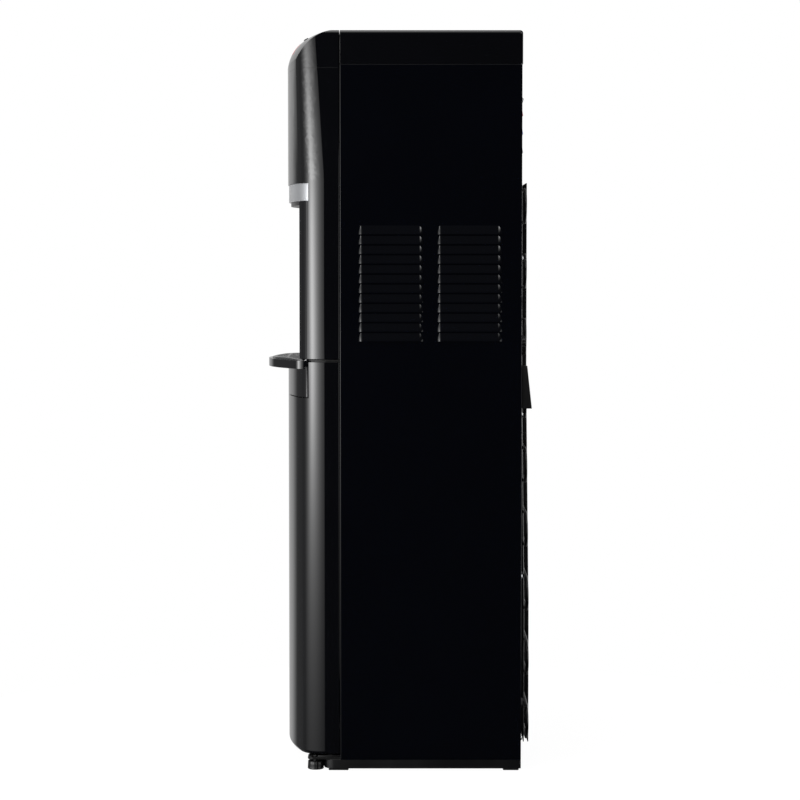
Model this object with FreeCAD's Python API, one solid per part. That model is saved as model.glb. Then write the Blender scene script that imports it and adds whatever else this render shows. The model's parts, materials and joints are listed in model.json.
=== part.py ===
import FreeCAD, Part
import math
import os

V = FreeCAD.Vector
X_AXIS, Y_AXIS, Z_AXIS = V(1, 0, 0), V(0, 1, 0), V(0, 0, 1)

# Frame: +Z up from the floor, the front faces -Y, +X is the hinge side of the door.
# Every size is in millimetres.

# ---- cabinet envelope ------------------------------------------------------
width = 310.0
height = 1040.0
rear_y = 173.5
seam_y = -81.5              # plane where the front mouldings meet the side panels
seam_gap = 1.0
seam_round = 1.5
side_tangent_y = -102.5     # the flat sides turn into the front curve here
front_depth = 57.0          # from there to the middle of the front
corner_radius = 39.0
sheet = 1.0
fit_gap = 0.3               # clearance round a piece that moves or drops in

# ---- levels ----------------------------------------------------------------
pad_height = 3.0
plinth_height = 12.7
door_floor_gap = 6.3
upper_height = 463.0        # from the door's top edge to the top of the cabinet
door_head_gap = 4.5
alcove_height = 221.5
band_height = 25.0
cap_height = 52.0           # head cap's seam below the top
lid_height = 47.0

# ---- plinth and feet -------------------------------------------------------
plinth_side_step = 0.5
plinth_wall = 3.0
plinth_front_y = -101.0
plinth_corner = 14.0
front_pad_length = 28.0
rear_pad_length = 22.0
pad_width = 34.0
foot_radius = 11.0
foot_height = 12.4
foot_grips = 12
foot_grip_radius = 1.1
stud_radius = 4.0
thread_gap = 0.06
foot_from_side = 15.5
foot_forward = 15.5         # in front of the plinth
bracket_sheet = 3.0
bracket_width = 32.0
bracket_lap = 21.0          # how far a foot bracket lies back over the plinth
bracket_side_step = 1.5
bracket_corner = 8.0
foot_round = 1.5
stud_proud = 1.0            # above its bracket

# ---- front frame, side panels, rear panel ----------------------------------
post_set_back = 4.5
post_width = 14.0
post_depth = 20.0
frame_wall = 1.5
beam_height = 18.0
lid_lip = 10.0
lid_lip_wall = 2.0
lid_rear_overhang = 1.0
lid_wall = 2.5
lid_ledge = 2.0             # ties the lip to the lid's walls
top_round = 5.0
rear_round = 4.0
panel_flange = 12.0
louvre_columns = 2
louvre_rows = 12
louvre_pitch = 13.6
louvre_length = 88.7
louvre_column_pitch = 110.4
louvre_first_y = -53.8      # front end of the front column
louvre_first = 26.4         # lip of the lowest row above the shelf
louvre_rise = 3.0           # how far a hood stands out
louvre_height = 12.3        # hood's top edge above its lip
louvre_radius = 12.0

# ---- head and fascia -------------------------------------------------------
fascia_wall = 3.0
pillar_width = 25.0
band_wall = 1.5
band_inset = 1.3
band_gap = 0.2              # behind the trim band
band_end_inset = 8.0        # the trim band stops this far from the sides
head_top_tangent_y = -115.0
head_top_corner = 30.0
nose_radius = 50.0
nose_stand = 0.2            # its round starts this far off the faces that it joins
nose_sweep = 60.0           # degrees, wide enough to reach both sides
fascia_tab_height = 20.0
fascia_tab_count = 4

# ---- alcove ----------------------------------------------------------------
alcove_back_y = -52.0
liner_wall = 2.0
liner_front_y = -130.0
liner_corner = 6.0
nozzle_plate = 5.5
nozzle_inset = 2.3
spout_pitch = 52.0
spout_y = -115.0
spout_radius = 7.0
spout_bore = 4.5
spout_drop = 14.0           # below the nozzle plate
collar_radius = 12.0
collar_height = 2.5
valve_size = 26.0
valve_port_rise = 16.0      # above the liner's ceiling
valve_coil_inset = 3.0
valve_coil_height = 12.0
valve_port_length = 8.0
spout_chamfer = 1.0
lamp_radius = 6.0
lamp_y = -72.0
lamp_flange = 4.0
lamp_flange_height = 3.0

# ---- buttons ---------------------------------------------------------------
button_width = 36.0
button_length = 20.0
button_depth = 9.0
button_proud = 0.3
button_angle = 52.0         # from straight up, towards the front
button_travel = 2.5
lock_angle = 28.0
lock_length = 6.5
lock_width = 14.0
lock_travel = 7.0
lock_proud = 2.6
board_width = 150.0
board_length = 34.0
board_sheet = 1.6
switch_height = 1.0
switch_pad = 6.0
board_gap = 0.5             # between a switch dome and a pressed button
rib_wall = 2.5
rib_set_back = 30.0
lock_foot_lip = 2.5
lock_depth = 6.0

# ---- door ------------------------------------------------------------------
door_wall = 2.5
door_bottom_round = 6.0
liner_plate = 2.0
liner_set_in = 1.5          # door liner's rear face inside the door's rear face
pan_clearance = 0.5         # between the pan and the hinge bushes
pan_margin = 12.0
hinge_inset = 11.0          # hinge axis from the door's side and rear faces
pin_radius = 3.0
pin_gap = 0.05
bush_wall = 2.45
bush_length = 15.0
bush_flange = 1.5
bush_flange_height = 2.5
pin_end_gap = 1.0           # between a pin's end and its bush's end
hinge_arm = 9.0             # upper hinge bracket beyond the hinge axis
hinge_arm_gap = 1.0
hinge_leaf_sheet = 1.5
hinge_leaf_height = 20.0
magnet_width = 10.0
magnet_height = 40.0
magnet_from_side = 9.0
magnet_low = 120.0          # lower magnet above the door's bottom edge
magnet_high = 155.0         # upper magnet's foot below the door's top edge
catch_sheet = 1.2
catch_lap = 4.0             # beyond each end of a magnet
catch_side_step = 2.0

# ---- drip tray -------------------------------------------------------------
notch_side = 7.5            # door left at each side of the tray's notch
notch_height = 50.5
notch_back_y = -112.0
tray_side_gap = 0.5
tray_side = 12.0            # tray's rim short of the cabinet's sides
tray_reach = 28.5           # beyond the middle of the door
tray_corner = 15.0
tray_depth = 55.0
tray_rim_height = 11.5
tray_stand = 2.0            # rim above the door's top edge
tray_wall = 3.0
tray_floor = 2.5
apron_return = 8.0
ledge_width = 3.0
grille_sheet = 3.0
sump_half = 100.0
sump_set_back = 16.5        # behind the apron's middle
grille_margin = 17.0        # rim at each side of the grille
grille_clearance = 1.5      # in front of the alcove liner
grille_straight = 4.0       # straight part of the grille's sides
grille_slot = 4.0
grille_pitch = 8.0
grille_border = 7.0
grille_edge = 5.0           # rim in front of the grille

# ---- bottle compartment ----------------------------------------------------
floor_sheet = 3.0
guide_height = 10.0
guide_wall = 3.0
guide_radius = 138.0
guide_gap = 8.0             # between the guide and the rear panel
probe_cap_radius = 27.0
probe_cap_height = 34.0
probe_cap_round = 5.0
probe_from_side = 46.0
probe_from_rear = 33.5
probe_collar = 5.0
probe_collar_height = 12.0
probe_tip_lip = 4.0
probe_tip_height = 18.0
probe_tip_gap = 69.3        # above the bottle floor
dip_tube_radius = 7.0
hanger_sheet = 2.0
hanger_tine = 10.0
hanger_front = 20.0
hanger_rear = 8.0
hanger_gap = 2.0            # between the probe's cap and the riser
probe_hang = 72.0           # the probe's seat below the shelf
hose_radius = 4.0
hose_bend = 12.0
hose_run = 2.0              # straight length left between two bends
hose_clearance = 1.0        # holes for hoses and lines

# ---- machine compartment ---------------------------------------------------
shelf_sheet = 2.0
shelf_flange = 20.0
compressor_x = 30.0
compressor_y = 70.0
compressor_radius = 72.0
compressor_body = 121.0     # height of the shell
compressor_round = 24.0
compressor_wall = 3.0
compressor_foot = 3.0
compressor_foot_pitch = 104.0
compressor_seam = 2.0       # how far the weld's rim stands out
compressor_seam_height = 4.0
compressor_cap_inset = 22.0
compressor_cap_height = 5.0
motor_radius = 44.0
motor_height = 80.0
port_offset = 20.0          # gas ports either side of the compressor's middle
port_rise = 62.0            # above the shelf
port_length = 14.0
grommet_radius = 10.0
grommet_height = 12.0
bolt_radius = 2.9
bolt_gap = 0.3
bolt_head_radius = 5.5
bolt_head = 3.0
relay_width = 44.0
relay_depth = 20.0
relay_height = 50.0
relay_rise = 40.0
relay_wrap = 12.0           # how far the relay cover reaches round the shell
pump_from_side = 39.0
pump_y = -20.0
pump_radius = 19.0
pump_height = 56.0
pump_base = 4.0
pump_inlet_rise = 22.0
pump_nozzle = 4.0
pump_outlet = 10.0
line_radius = 3.0
line_bend = 8.0
capillary_radius = 1.2
capillary_side = 14.0       # beside the cold tank's middle
capillary_run = 30.0
capillary_drop = 20.0       # below the tank deck
drier_radius = 9.0
drier_length = 86.0
drier_round = 4.0
drier_neck = 8.0
drier_set_in = 20.0         # drier's neck inside the rear panel
riser_offset = 32.0         # discharge riser beside the return pipe
liquid_rise = 60.0          # liquid line's hole above the shelf
vapour_rise = 120.0
power_board_width = 96.0
power_board_height = 90.0
power_board_rise = 45.0
standoff_length = 8.0
standoff_radius = 3.0
standoff_inset = 6.0
transformer_depth = 9.0
relay_block_depth = 8.0

# ---- tanks -----------------------------------------------------------------
deck_notch = 20.0           # deck's flange behind the posts
tank_y = 75.0
tank_wall = 1.0
cold_side_gap = 7.0         # between the cold tank's foam and the side panel
tank_gap = 22.7             # between the foam and the hot tank's jacket
cold_height = 140.0
foam_base = 10.0
foam_wall = 12.0
coil_tube = 3.2
header_radius = 2.8         # coil's header and the suction line
coil_gap = 0.3
coil_rings = 8
coil_pitch = 12.0
coil_first = 18.0           # lowest ring above the cold tank's floor
hot_side_gap = 9.7          # between the jacket and the side panel
hot_radius = 48.0
hot_height = 130.0
hot_round = 8.0
heater_wall = 2.0
heater_height = 30.0
jacket_wall = 9.0
jacket_foot_gap = 12.0
jacket_top_gap = 10.0
tank_leg = 10.0
tank_leg_radius = 4.0
tank_leg_circle = 30.0
outlet_offset = 12.0        # tank outlets nearer the cabinet's middle
outlet_length = 12.0        # in front of the foam
feed_step = 20.0            # tank feed beside the pump's riser
feed_bend = 5.0
crossing_rise = 30.0        # hoses that cross run above the ports

# ---- rear ------------------------------------------------------------------
condenser_runs = 18
condenser_first = 22.0      # lowest run above the plinth
condenser_drop = 173.3      # highest run below the lid
condenser_side = 59.0       # bare strip for the fittings beside the condenser
condenser_bend = 4.8
condenser_tube = 2.4
condenser_stand = 4.1       # tube's axis behind the cabinet's rear
condenser_step = 5.0
step_run = 7                # runs below this one stand further back
wire_radius = 0.8
wire_margin = 16.0          # outer wires from the ends of the straight runs
wire_end = 10.0             # beyond the outer runs
wire_step = 6.0             # wires bend this far from the runs at the step
wire_bend = 12.0
wire_count = 13
return_side = 27.0          # return pipe from the cabinet's side
return_gap = 8.0            # between the return pipe and the bends
clip_width = 10.0
clip_height = 8.0
clip_reach = 7.0            # clip centres from the ends of the straight runs
spacer_side = 10.0
spacer_width = 12.0
spacer_height = 60.0
spacer_drop = 65.0          # spacer's foot below the door's top edge
spacer_top_depth = 8.0
spacer_depth = 14.5
switch_side = 43.0
switch_drop = 88.0          # middle switch below the lid
switch_pitch = 26.0
switch_width = 13.0
switch_length = 20.0
switch_depth = 14.0
rocker_proud = 1.6
rocker_tilt = 8.0
bezel_wall = 3.0
bezel_lap = 1.0             # bezel's flange over its cutout, less than its wall
bezel_proud = 1.5
rocker_axis_depth = 3.0
rocker_end_gap = 1.5
rocker_body = 2.0
fittings_side = 37.0        # drain and cord inlet from the cabinet's side
drain_rise = 20.0           # above the shelf
drain_radius = 8.0
drain_wall = 2.5
drain_hose_run = 4.0        # straight hose between its bend and the pipe
drain_inner = 14.0          # pipe inside the rear panel
drain_flange = 4.0
drain_flange_height = 2.0
drain_proud = 4.0
drain_cap_radius = 14.0
drain_cap_height = 8.5
drain_cap_grips = 14
drain_grip_radius = 1.4
inlet_rise = 80.0           # above the shelf
inlet_radius = 9.0
inlet_groove = 2.0
inlet_flange = 3.0
inlet_body = 4.0
inlet_bore = 4.0
screw_radius = 3.5
screw_head = 2.0
screw_shank = 1.7
screw_gap = 0.05
screw_length = 6.0
screw_foot_gap = 30.0       # lowest screw above the plinth
screw_head_gap = 50.0       # highest screw below the lid
screw_spacer_gap = 7.6      # middle screw below the wall spacer

# ---- worked-out places -----------------------------------------------------
half = width / 2
inner_half = half - sheet
front_rear_y = seam_y - seam_gap / 2
panel_front_y = seam_y + seam_gap / 2
front_y = side_tangent_y - front_depth
post_front_y = seam_y + post_set_back
post_rear_y = post_front_y + post_depth
back_inner_y = rear_y - 2 * sheet       # inner face of the rear panel
plinth_top = pad_height + plinth_height
door_bottom = plinth_top + door_floor_gap
door_top = height - upper_height
fascia_bottom = door_top + door_head_gap
band_bottom = fascia_bottom + alcove_height
band_top = band_bottom + band_height
head_start = band_top + fascia_wall     # the head's corners begin to draw in here
fascia_top = height - cap_height
lid_bottom = height - lid_height
post_top = lid_bottom - lid_lip
beam_top = door_top + seam_gap
shelf_top = beam_top + shelf_sheet
deck_bottom = band_bottom
deck_top = deck_bottom + shelf_sheet
ceiling_top = band_bottom + liner_wall
alcove_half = half - pillar_width
band_half = half - band_end_inset
notch_half = half - notch_side
tray_half = half - tray_side
grille_half = tray_half - grille_margin
grille_back_y = liner_front_y - grille_clearance
hinge_x = half - hinge_inset
hinge_y = front_rear_y - hinge_inset
bush_radius = pin_radius + pin_gap + bush_wall
pan_inset = hinge_inset + bush_radius + bush_flange + pan_clearance
liner_rear_y = front_rear_y - liner_set_in
foot_x = half - foot_from_side
foot_y = plinth_front_y - foot_forward
bracket_top = plinth_top + bracket_sheet
nose_y = front_y + nose_radius
nose_z = height - nose_radius
head_top_depth = head_top_tangent_y - front_y
tray_top = door_top + tray_stand
rim_bottom = tray_top - tray_rim_height
tray_tip_y = front_y - tray_reach
notch_bottom = door_top - notch_height
louvre_bottom_z = shelf_top + louvre_first
bottle_floor_top = plinth_top + floor_sheet
probe_x = inner_half - probe_from_side
probe_y = back_inner_y - probe_from_rear
probe_seat_z = beam_top - probe_hang
pump_x = pump_from_side - inner_half
pump_nozzle_x = pump_x + pump_radius + pump_nozzle
hose_drop_x = pump_nozzle_x + hose_bend + hose_run
bolt_hole = bolt_radius + bolt_gap
discharge_y = compressor_y + port_offset
suction_y = compressor_y - port_offset
gas_port_z = shelf_top + port_rise
gas_port_x = compressor_x - compressor_radius - port_length
return_x = return_side - half
riser_x = return_x + riser_offset
liquid_z = shelf_top + liquid_rise
vapour_z = shelf_top + vapour_rise
drier_rear_y = back_inner_y - drier_set_in
drier_front_y = drier_rear_y - drier_length - 2 * drier_neck
capillary_y = drier_front_y - capillary_run
port_z = ceiling_top + valve_port_rise
valve_rear_y = spout_y + valve_size / 2 + valve_port_length
jacket_inner = hot_radius + heater_wall + fit_gap
jacket_radius = jacket_inner + jacket_wall
hot_x = inner_half - hot_side_gap - jacket_radius
hot_floor = deck_top + tank_leg
foam_radius = inner_half - (cold_side_gap + tank_gap + hot_side_gap) / 2 - jacket_radius
cold_x = cold_side_gap + foam_radius - inner_half
foam_inner = foam_radius - foam_wall
cold_radius = foam_inner - 2 * coil_tube - 2 * coil_gap
coil_circle = cold_radius + coil_gap + coil_tube
coil_front_y = tank_y - coil_circle
cold_floor = deck_top + foam_base
cold_top = cold_floor + cold_height
coil_bottom_z = cold_floor + coil_first
coil_top_z = coil_bottom_z + (coil_rings - 1) * coil_pitch
cold_port_x = cold_x + outlet_offset
hot_port_x = hot_x - outlet_offset
outlet_y = tank_y - foam_radius - outlet_length
coil_y = rear_y + condenser_stand
condenser_bottom_z = plinth_top + condenser_first
condenser_pitch = (lid_bottom - condenser_drop - condenser_bottom_z) / (condenser_runs - 1)
condenser_left = return_x + return_gap + condenser_pitch / 2
condenser_right = half - condenser_side - condenser_pitch / 2
spacer_x = half - spacer_side
spacer_bottom_z = door_top - spacer_drop
switch_x = half - switch_side
switch_z = lid_bottom - switch_drop
bezel_face_y = rear_y - sheet + bezel_proud
rocker_y = rear_y - sheet - rocker_axis_depth
fittings_x = half - fittings_side
drain_z = shelf_top + drain_rise
drain_hose_y = back_inner_y - drain_inner - 2 * hose_radius - drain_hose_run
inlet_z = shelf_top + inlet_rise


# ---- helpers ---------------------------------------------------------------
def box(x0, x1, y0, y1, z0, z1):
    return Part.makeBox(x1 - x0, y1 - y0, z1 - z0, V(x0, y0, z0))


def cylinder(radius, x, y, z0, z1):
    return Part.makeCylinder(radius, z1 - z0, V(x, y, z0))


def cylinder_y(radius, x, z, y0, y1):
    return Part.makeCylinder(radius, y1 - y0, V(x, y0, z), Y_AXIS)


def cylinder_x(radius, y, z, x0, x1):
    return Part.makeCylinder(radius, x1 - x0, V(x0, y, z), X_AXIS)


def mirrored(shape):
    return shape.mirror(V(0, 0, 0), X_AXIS)


def both_sides(shape):
    return shape.fuse(mirrored(shape))


def joined(shapes):
    return shapes[0].multiFuse(shapes[1:]).removeSplitter()


def group(shapes):
    return Part.makeCompound(shapes)


def front_offset(half_width, depth, corner):
    """By how much the shallow front arc's radius exceeds the corners'."""
    run, rise = half_width - corner, depth - corner
    return (run ** 2 + rise ** 2) / (2 * rise)


def outline(z, half_width, back_y, tangent_y, depth, corner, inset=0.0):
    """Closed wire at height z: straight sides, corner arcs, shallow front arc."""
    run = half_width - corner
    offset = front_offset(half_width, depth, corner)
    centre_y = tangent_y - depth + corner + offset
    turn = -math.acos(run / offset)
    small = corner - inset
    large = corner + offset - inset
    side = half_width - inset

    def corner_point(angle):
        return V(run + small * math.cos(angle), tangent_y + small * math.sin(angle), z)

    def flip(point):
        return V(-point.x, point.y, point.z)

    rear, start, middle, end = V(side, back_y, z), corner_point(0), corner_point(turn / 2), corner_point(turn)
    return Part.Wire([
        Part.LineSegment(rear, start).toShape(),
        Part.Arc(start, middle, end).toShape(),
        Part.Arc(end, V(0, centre_y - large, z), flip(end)).toShape(),
        Part.Arc(flip(end), flip(middle), flip(start)).toShape(),
        Part.LineSegment(flip(start), flip(rear)).toShape(),
        Part.LineSegment(flip(rear), rear).toShape(),
    ])


def front_block(z0, z1, inset=0.0, back_y=front_rear_y):
    """Solid with the plan of the front, drawn in by inset."""
    wire = outline(z0, half, back_y, side_tangent_y, front_depth, corner_radius, inset)
    return Part.Face(wire).extrude(V(0, 0, z1 - z0))


def head_block(inset=0.0, back_y=front_rear_y):
    """The head above the band: its corners draw in and tighten towards the top."""
    low = outline(head_start, half, back_y, side_tangent_y, front_depth, corner_radius, inset)
    high = outline(height, half, back_y, head_top_tangent_y, head_top_depth, head_top_corner, inset)
    return Part.makeLoft([low, high], True, True)


def tray_block(z0, z1, inset=0.0):
    """Plan of the drip tray's rim, drawn in by inset on every side."""
    wire = outline(z0, tray_half, notch_back_y - tray_side_gap - inset, tray_tip_y + tray_depth,
                   tray_depth, tray_corner, inset)
    return Part.Face(wire).extrude(V(0, 0, z1 - z0))


def seam_cutter(z0, z1):
    """Rounds off the rear outer edges of the front mouldings."""
    x, y = half - seam_round, front_rear_y - seam_round
    corner = box(x, half + seam_gap, y, front_rear_y + seam_gap, z0, z1)
    return both_sides(corner.cut(cylinder(seam_round, x, y, z0, z1)))


def nose_axis_y():
    """Where the upright axis stands that the head's front arc turns about."""
    return front_y + front_offset(half, head_top_depth, head_top_corner) + head_top_corner


def nose_profile(inset=0.0, back_y=front_rear_y):
    """Side view of the head's rounded top edge, swept round its front arc."""
    radius = nose_radius - inset
    lean = radius * math.sqrt(0.5)
    y, z = nose_y - nose_stand, nose_z + nose_stand
    foot, ledge = V(0, y - nose_radius - fascia_wall, head_start), V(0, y - nose_radius - fascia_wall, z)
    rise, crest = V(0, y - radius, z), V(0, y, z + radius)
    rear, base = V(0, back_y + fascia_wall, z + radius), V(0, back_y + fascia_wall, head_start)
    wire = Part.Wire([
        Part.LineSegment(foot, ledge).toShape(),
        Part.LineSegment(ledge, rise).toShape(),
        Part.Arc(rise, V(0, y - lean, z + lean), crest).toShape(),
        Part.LineSegment(crest, rear).toShape(),
        Part.LineSegment(rear, base).toShape(),
        Part.LineSegment(base, foot).toShape(),
    ])
    axis = V(0, nose_axis_y(), 0)
    return Part.Face(wire).rotate(axis, Z_AXIS, -nose_sweep / 2).revolve(axis, Z_AXIS, nose_sweep)


def along_nose(shape, x):
    """A shape made at the middle of the head, carried round its front arc to x."""
    axis_y = nose_axis_y()
    angle = math.degrees(math.asin(x / (axis_y - front_y)))
    shape.rotate(V(0, axis_y, 0), Z_AXIS, angle)
    return shape


def crown(y0, y1, z0, inset=0.0):
    """Block with the full width, rounded along its two top edges."""
    side, radius = half - inset, top_round - inset
    block = box(-side, side, y0, y1, z0, height - inset)
    edges = [e for e in block.Edges if abs(e.CenterOfMass.z - height + inset) < 1e-6
             and abs(abs(e.CenterOfMass.x) - side) < 1e-6]
    return block.makeFillet(radius, edges)


def radial_box(angle, x, box_width, length, r0, r1):
    """Box that faces outwards from the nose's axis, at an angle from straight up."""
    block = box(x - box_width / 2, x + box_width / 2, nose_y - length / 2, nose_y + length / 2,
                nose_z + r0, nose_z + r1)
    block.rotate(V(0, nose_y, nose_z), X_AXIS, angle)
    return block


def pipe(points, radius, bend):
    """Round bar along straight runs joined by tangent arcs."""
    points = [V(*p) for p in points]
    edges, start = [], points[0]
    for before, corner, after in zip(points, points[1:], points[2:]):
        arrive, leave = (corner - before).normalize(), (after - corner).normalize()
        turn = arrive.getAngle(leave)
        cut = bend * math.tan(turn / 2)
        entry, leaving = corner - arrive * cut, corner + leave * cut
        inward = (leave - arrive).normalize()
        middle = corner + inward * (bend / math.cos(turn / 2) - bend)
        edges += [Part.LineSegment(start, entry).toShape(), Part.Arc(entry, middle, leaving).toShape()]
        start = leaving
    edges.append(Part.LineSegment(start, points[-1]).toShape())
    wire = Part.Wire(edges)
    direction = (points[1] - points[0]).normalize()
    profile = Part.Wire([Part.Circle(points[0], direction, radius).toShape()])
    return wire.makePipeShell([profile], True, True)


def rounded(shape, radius):
    """The shape with a fillet along each of its circular edges."""
    return shape.makeFillet(radius, [e for e in shape.Edges if isinstance(e.Curve, Part.Circle)])


def screw_y(x, z, y):
    """Rear screw: domed head outside the sheet at y, shank running forwards."""
    head = cylinder_y(screw_radius, x, z, y, y + screw_head)
    shank = cylinder_y(screw_shank, x, z, y - screw_length, y)
    return head.fuse(shank)


# ---- plinth, feet and frame ------------------------------------------------
def plinth():
    side = half - plinth_side_step
    block = box(-side, side, plinth_front_y, rear_y, pad_height, plinth_top)
    corners = [e for e in block.Edges if abs(e.CenterOfMass.z - (pad_height + plinth_top) / 2) < 1e-6
               and e.CenterOfMass.y < 0]
    block = block.makeFillet(plinth_corner, corners)
    hollow = box(-side + plinth_wall, side - plinth_wall, plinth_front_y + plinth_corner,
                 rear_y - plinth_wall, pad_height, plinth_top - plinth_wall)
    pads = group([box(x - pad_width / 2 - plinth_wall, x + pad_width / 2 + plinth_wall, y0 - plinth_wall,
                      y1 + plinth_wall, pad_height, plinth_top) for x, y0, y1 in pad_places()])
    return block.cut(hollow.cut(pads))


def pad_places():
    x = half - plinth_side_step - plinth_wall - pad_width / 2
    front = plinth_front_y + plinth_wall
    rear = rear_y - plinth_wall
    return [(side * x, y0, y0 + length) for side in (-1, 1)
            for y0, length in ((front, front_pad_length), (rear - rear_pad_length, rear_pad_length))]


def foot_pads():
    return group([box(x - pad_width / 2, x + pad_width / 2, y0, y1, 0, pad_height)
                  for x, y0, y1 in pad_places()])


def levelling_foot(side):
    x = side * foot_x
    disc = rounded(cylinder(foot_radius, x, foot_y, 0, foot_height), foot_round)
    grips = [cylinder(foot_grip_radius, x + foot_radius * math.cos(a), foot_y + foot_radius * math.sin(a),
                      -1, foot_height + 1)
             for a in (2 * math.pi * k / foot_grips for k in range(foot_grips))]
    stud = cylinder(stud_radius, x, foot_y, foot_height, bracket_top + stud_proud)
    return disc.cut(group(grips)).fuse(stud)


def foot_bracket():
    x0 = foot_x - bracket_width / 2
    plate = box(x0, half - bracket_side_step, foot_y - foot_radius, plinth_front_y + bracket_lap, plinth_top,
                bracket_top)
    front = [e for e in plate.Edges if e.CenterOfMass.y < foot_y and
             abs(e.CenterOfMass.z - (plinth_top + bracket_top) / 2) < 1e-6]
    plate = plate.makeFillet(bracket_corner, front)
    return plate.cut(cylinder(stud_radius + thread_gap, foot_x, foot_y, plinth_top - 1, bracket_top + 1))


def front_frame():
    """Two tube posts and a tube beam, all open into each other, on a flat sill."""
    inside = inner_half - post_width
    post = box(inside, inner_half, post_front_y, post_rear_y, plinth_top, post_top)
    bore = box(inside + frame_wall, inner_half - frame_wall, post_front_y + frame_wall,
               post_rear_y - frame_wall, plinth_top - 1, post_top + 1)
    beam = box(-inside, inside, post_front_y, post_rear_y, beam_top - beam_height, beam_top)
    beam_bore = box(-inside - frame_wall - 1, inside + frame_wall + 1, post_front_y + frame_wall,
                    post_rear_y - frame_wall, beam_top - beam_height + frame_wall, beam_top - frame_wall)
    sill = box(-inside, inside, post_front_y, post_rear_y, plinth_top, bottle_floor_top)
    return joined([post, mirrored(post), beam, sill]).cut(group([bore, mirrored(bore), beam_bore]))


def louvre(y0, lip_z):
    """Outer and inner skins of one pressed hood, open along the lip at its foot."""
    axis_x = half + louvre_rise - louvre_radius
    end = math.sqrt(louvre_radius ** 2 - (half - axis_x) ** 2)
    axis_z = lip_z + louvre_height - end
    first, last = y0 + end, y0 + louvre_length - end
    above = box(inner_half - 1, half + louvre_rise + 1, y0 - 1, y0 + louvre_length + 1, lip_z,
                axis_z + louvre_radius + 1)

    def capsule(radius):
        rod = cylinder_y(radius, axis_x, axis_z, first, last)
        ends = [Part.makeSphere(radius, V(axis_x, y, axis_z)) for y in (first, last)]
        return rod.multiFuse(ends).common(above)

    return capsule(louvre_radius), capsule(louvre_radius - sheet)


def side_panel():
    plate = box(inner_half, half, panel_front_y, rear_y, plinth_top, lid_bottom - seam_gap / 2)
    flange = box(half - panel_flange, inner_half, rear_y - sheet, rear_y, plinth_top,
                 lid_bottom - seam_gap / 2)
    places = [(louvre_first_y + c * louvre_column_pitch, louvre_bottom_z + r * louvre_pitch)
              for c in range(louvre_columns) for r in range(louvre_rows)]
    outer, inner = zip(*[louvre(y, z) for y, z in places])
    outside = box(inner_half, half + louvre_rise + 1, panel_front_y, rear_y, plinth_top, lid_bottom)
    hoods = [skin.common(outside) for skin in outer]
    panel = plate.multiFuse(hoods).cut(group(list(inner)))
    holes = [cylinder_y(screw_shank + screw_gap, x, z, back_inner_y, rear_y + 1)
             for x, z in rear_screw_places()]
    return joined([panel, flange]).cut(group(holes))


def rear_panel():
    side = half - sheet - fit_gap
    plate = box(-side, side, back_inner_y, rear_y - sheet, plinth_top, post_top)
    holes = [cylinder_y(condenser_tube + hose_clearance, return_x, z, back_inner_y - 1, rear_y)
             for z in (liquid_z, vapour_z)]
    holes.append(cylinder_y(drain_radius + fit_gap, fittings_x, drain_z, back_inner_y - 1, rear_y))
    holes.append(cylinder_y(inlet_radius - inlet_groove + fit_gap, fittings_x, inlet_z, back_inner_y - 1,
                            rear_y))
    holes.append(switch_cutout(back_inner_y - 1, rear_y, fit_gap))
    holes += [cylinder_y(screw_shank + screw_gap, x, z, back_inner_y - 1, rear_y)
              for x, z in rear_screw_places()]
    return plate.cut(group(holes))


def rear_screw_places():
    x = half - panel_flange / 2
    low, middle = plinth_top + screw_foot_gap, spacer_bottom_z - screw_spacer_gap
    high = lid_bottom - screw_head_gap
    levels = (low, (low + middle) / 2, middle, (middle + high) / 2, high)
    return [(side * x, z) for side in (-1, 1) for z in levels]


def rear_screws():
    return [screw_y(x, z, rear_y) for x, z in rear_screw_places()]


# ---- lid, head and fascia --------------------------------------------------
def top_cover():
    lid_rear_y = rear_y + lid_rear_overhang
    outer = crown(panel_front_y, lid_rear_y, lid_bottom)
    rear_edge = [e for e in outer.Edges if abs(e.CenterOfMass.y - lid_rear_y) < 1e-6
                 and abs(e.CenterOfMass.z - height) < 1e-6]
    outer = outer.makeFillet(rear_round, rear_edge)
    hollow = crown(panel_front_y - 1, lid_rear_y - lid_wall, lid_bottom - 1, lid_wall)
    lip_side = inner_half - lid_lip_wall
    ledge_top = lid_bottom + lid_ledge
    lip_outer = box(-inner_half, inner_half, panel_front_y + lid_wall, back_inner_y, post_top, ledge_top)
    lip_inner = box(-lip_side, lip_side, panel_front_y, back_inner_y - lid_lip_wall, post_top - 1,
                    ledge_top + 1)
    ledge_side = half - lid_wall / 2
    ledge = box(-ledge_side, ledge_side, panel_front_y + lid_wall, lid_rear_y - lid_wall / 2, lid_bottom,
                ledge_top)
    return joined([outer.cut(hollow), lip_outer.cut(lip_inner), ledge.cut(lip_inner)])


def nose_solid(inset=0.0, back_y=front_rear_y):
    head = head_block(inset, back_y).common(nose_profile(inset, back_y))
    return head.common(crown(front_y - 1, back_y, head_start, inset))


def button_spots():
    return [("cold_button", -spout_pitch), ("room_button", 0.0), ("hot_button", spout_pitch)]


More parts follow.
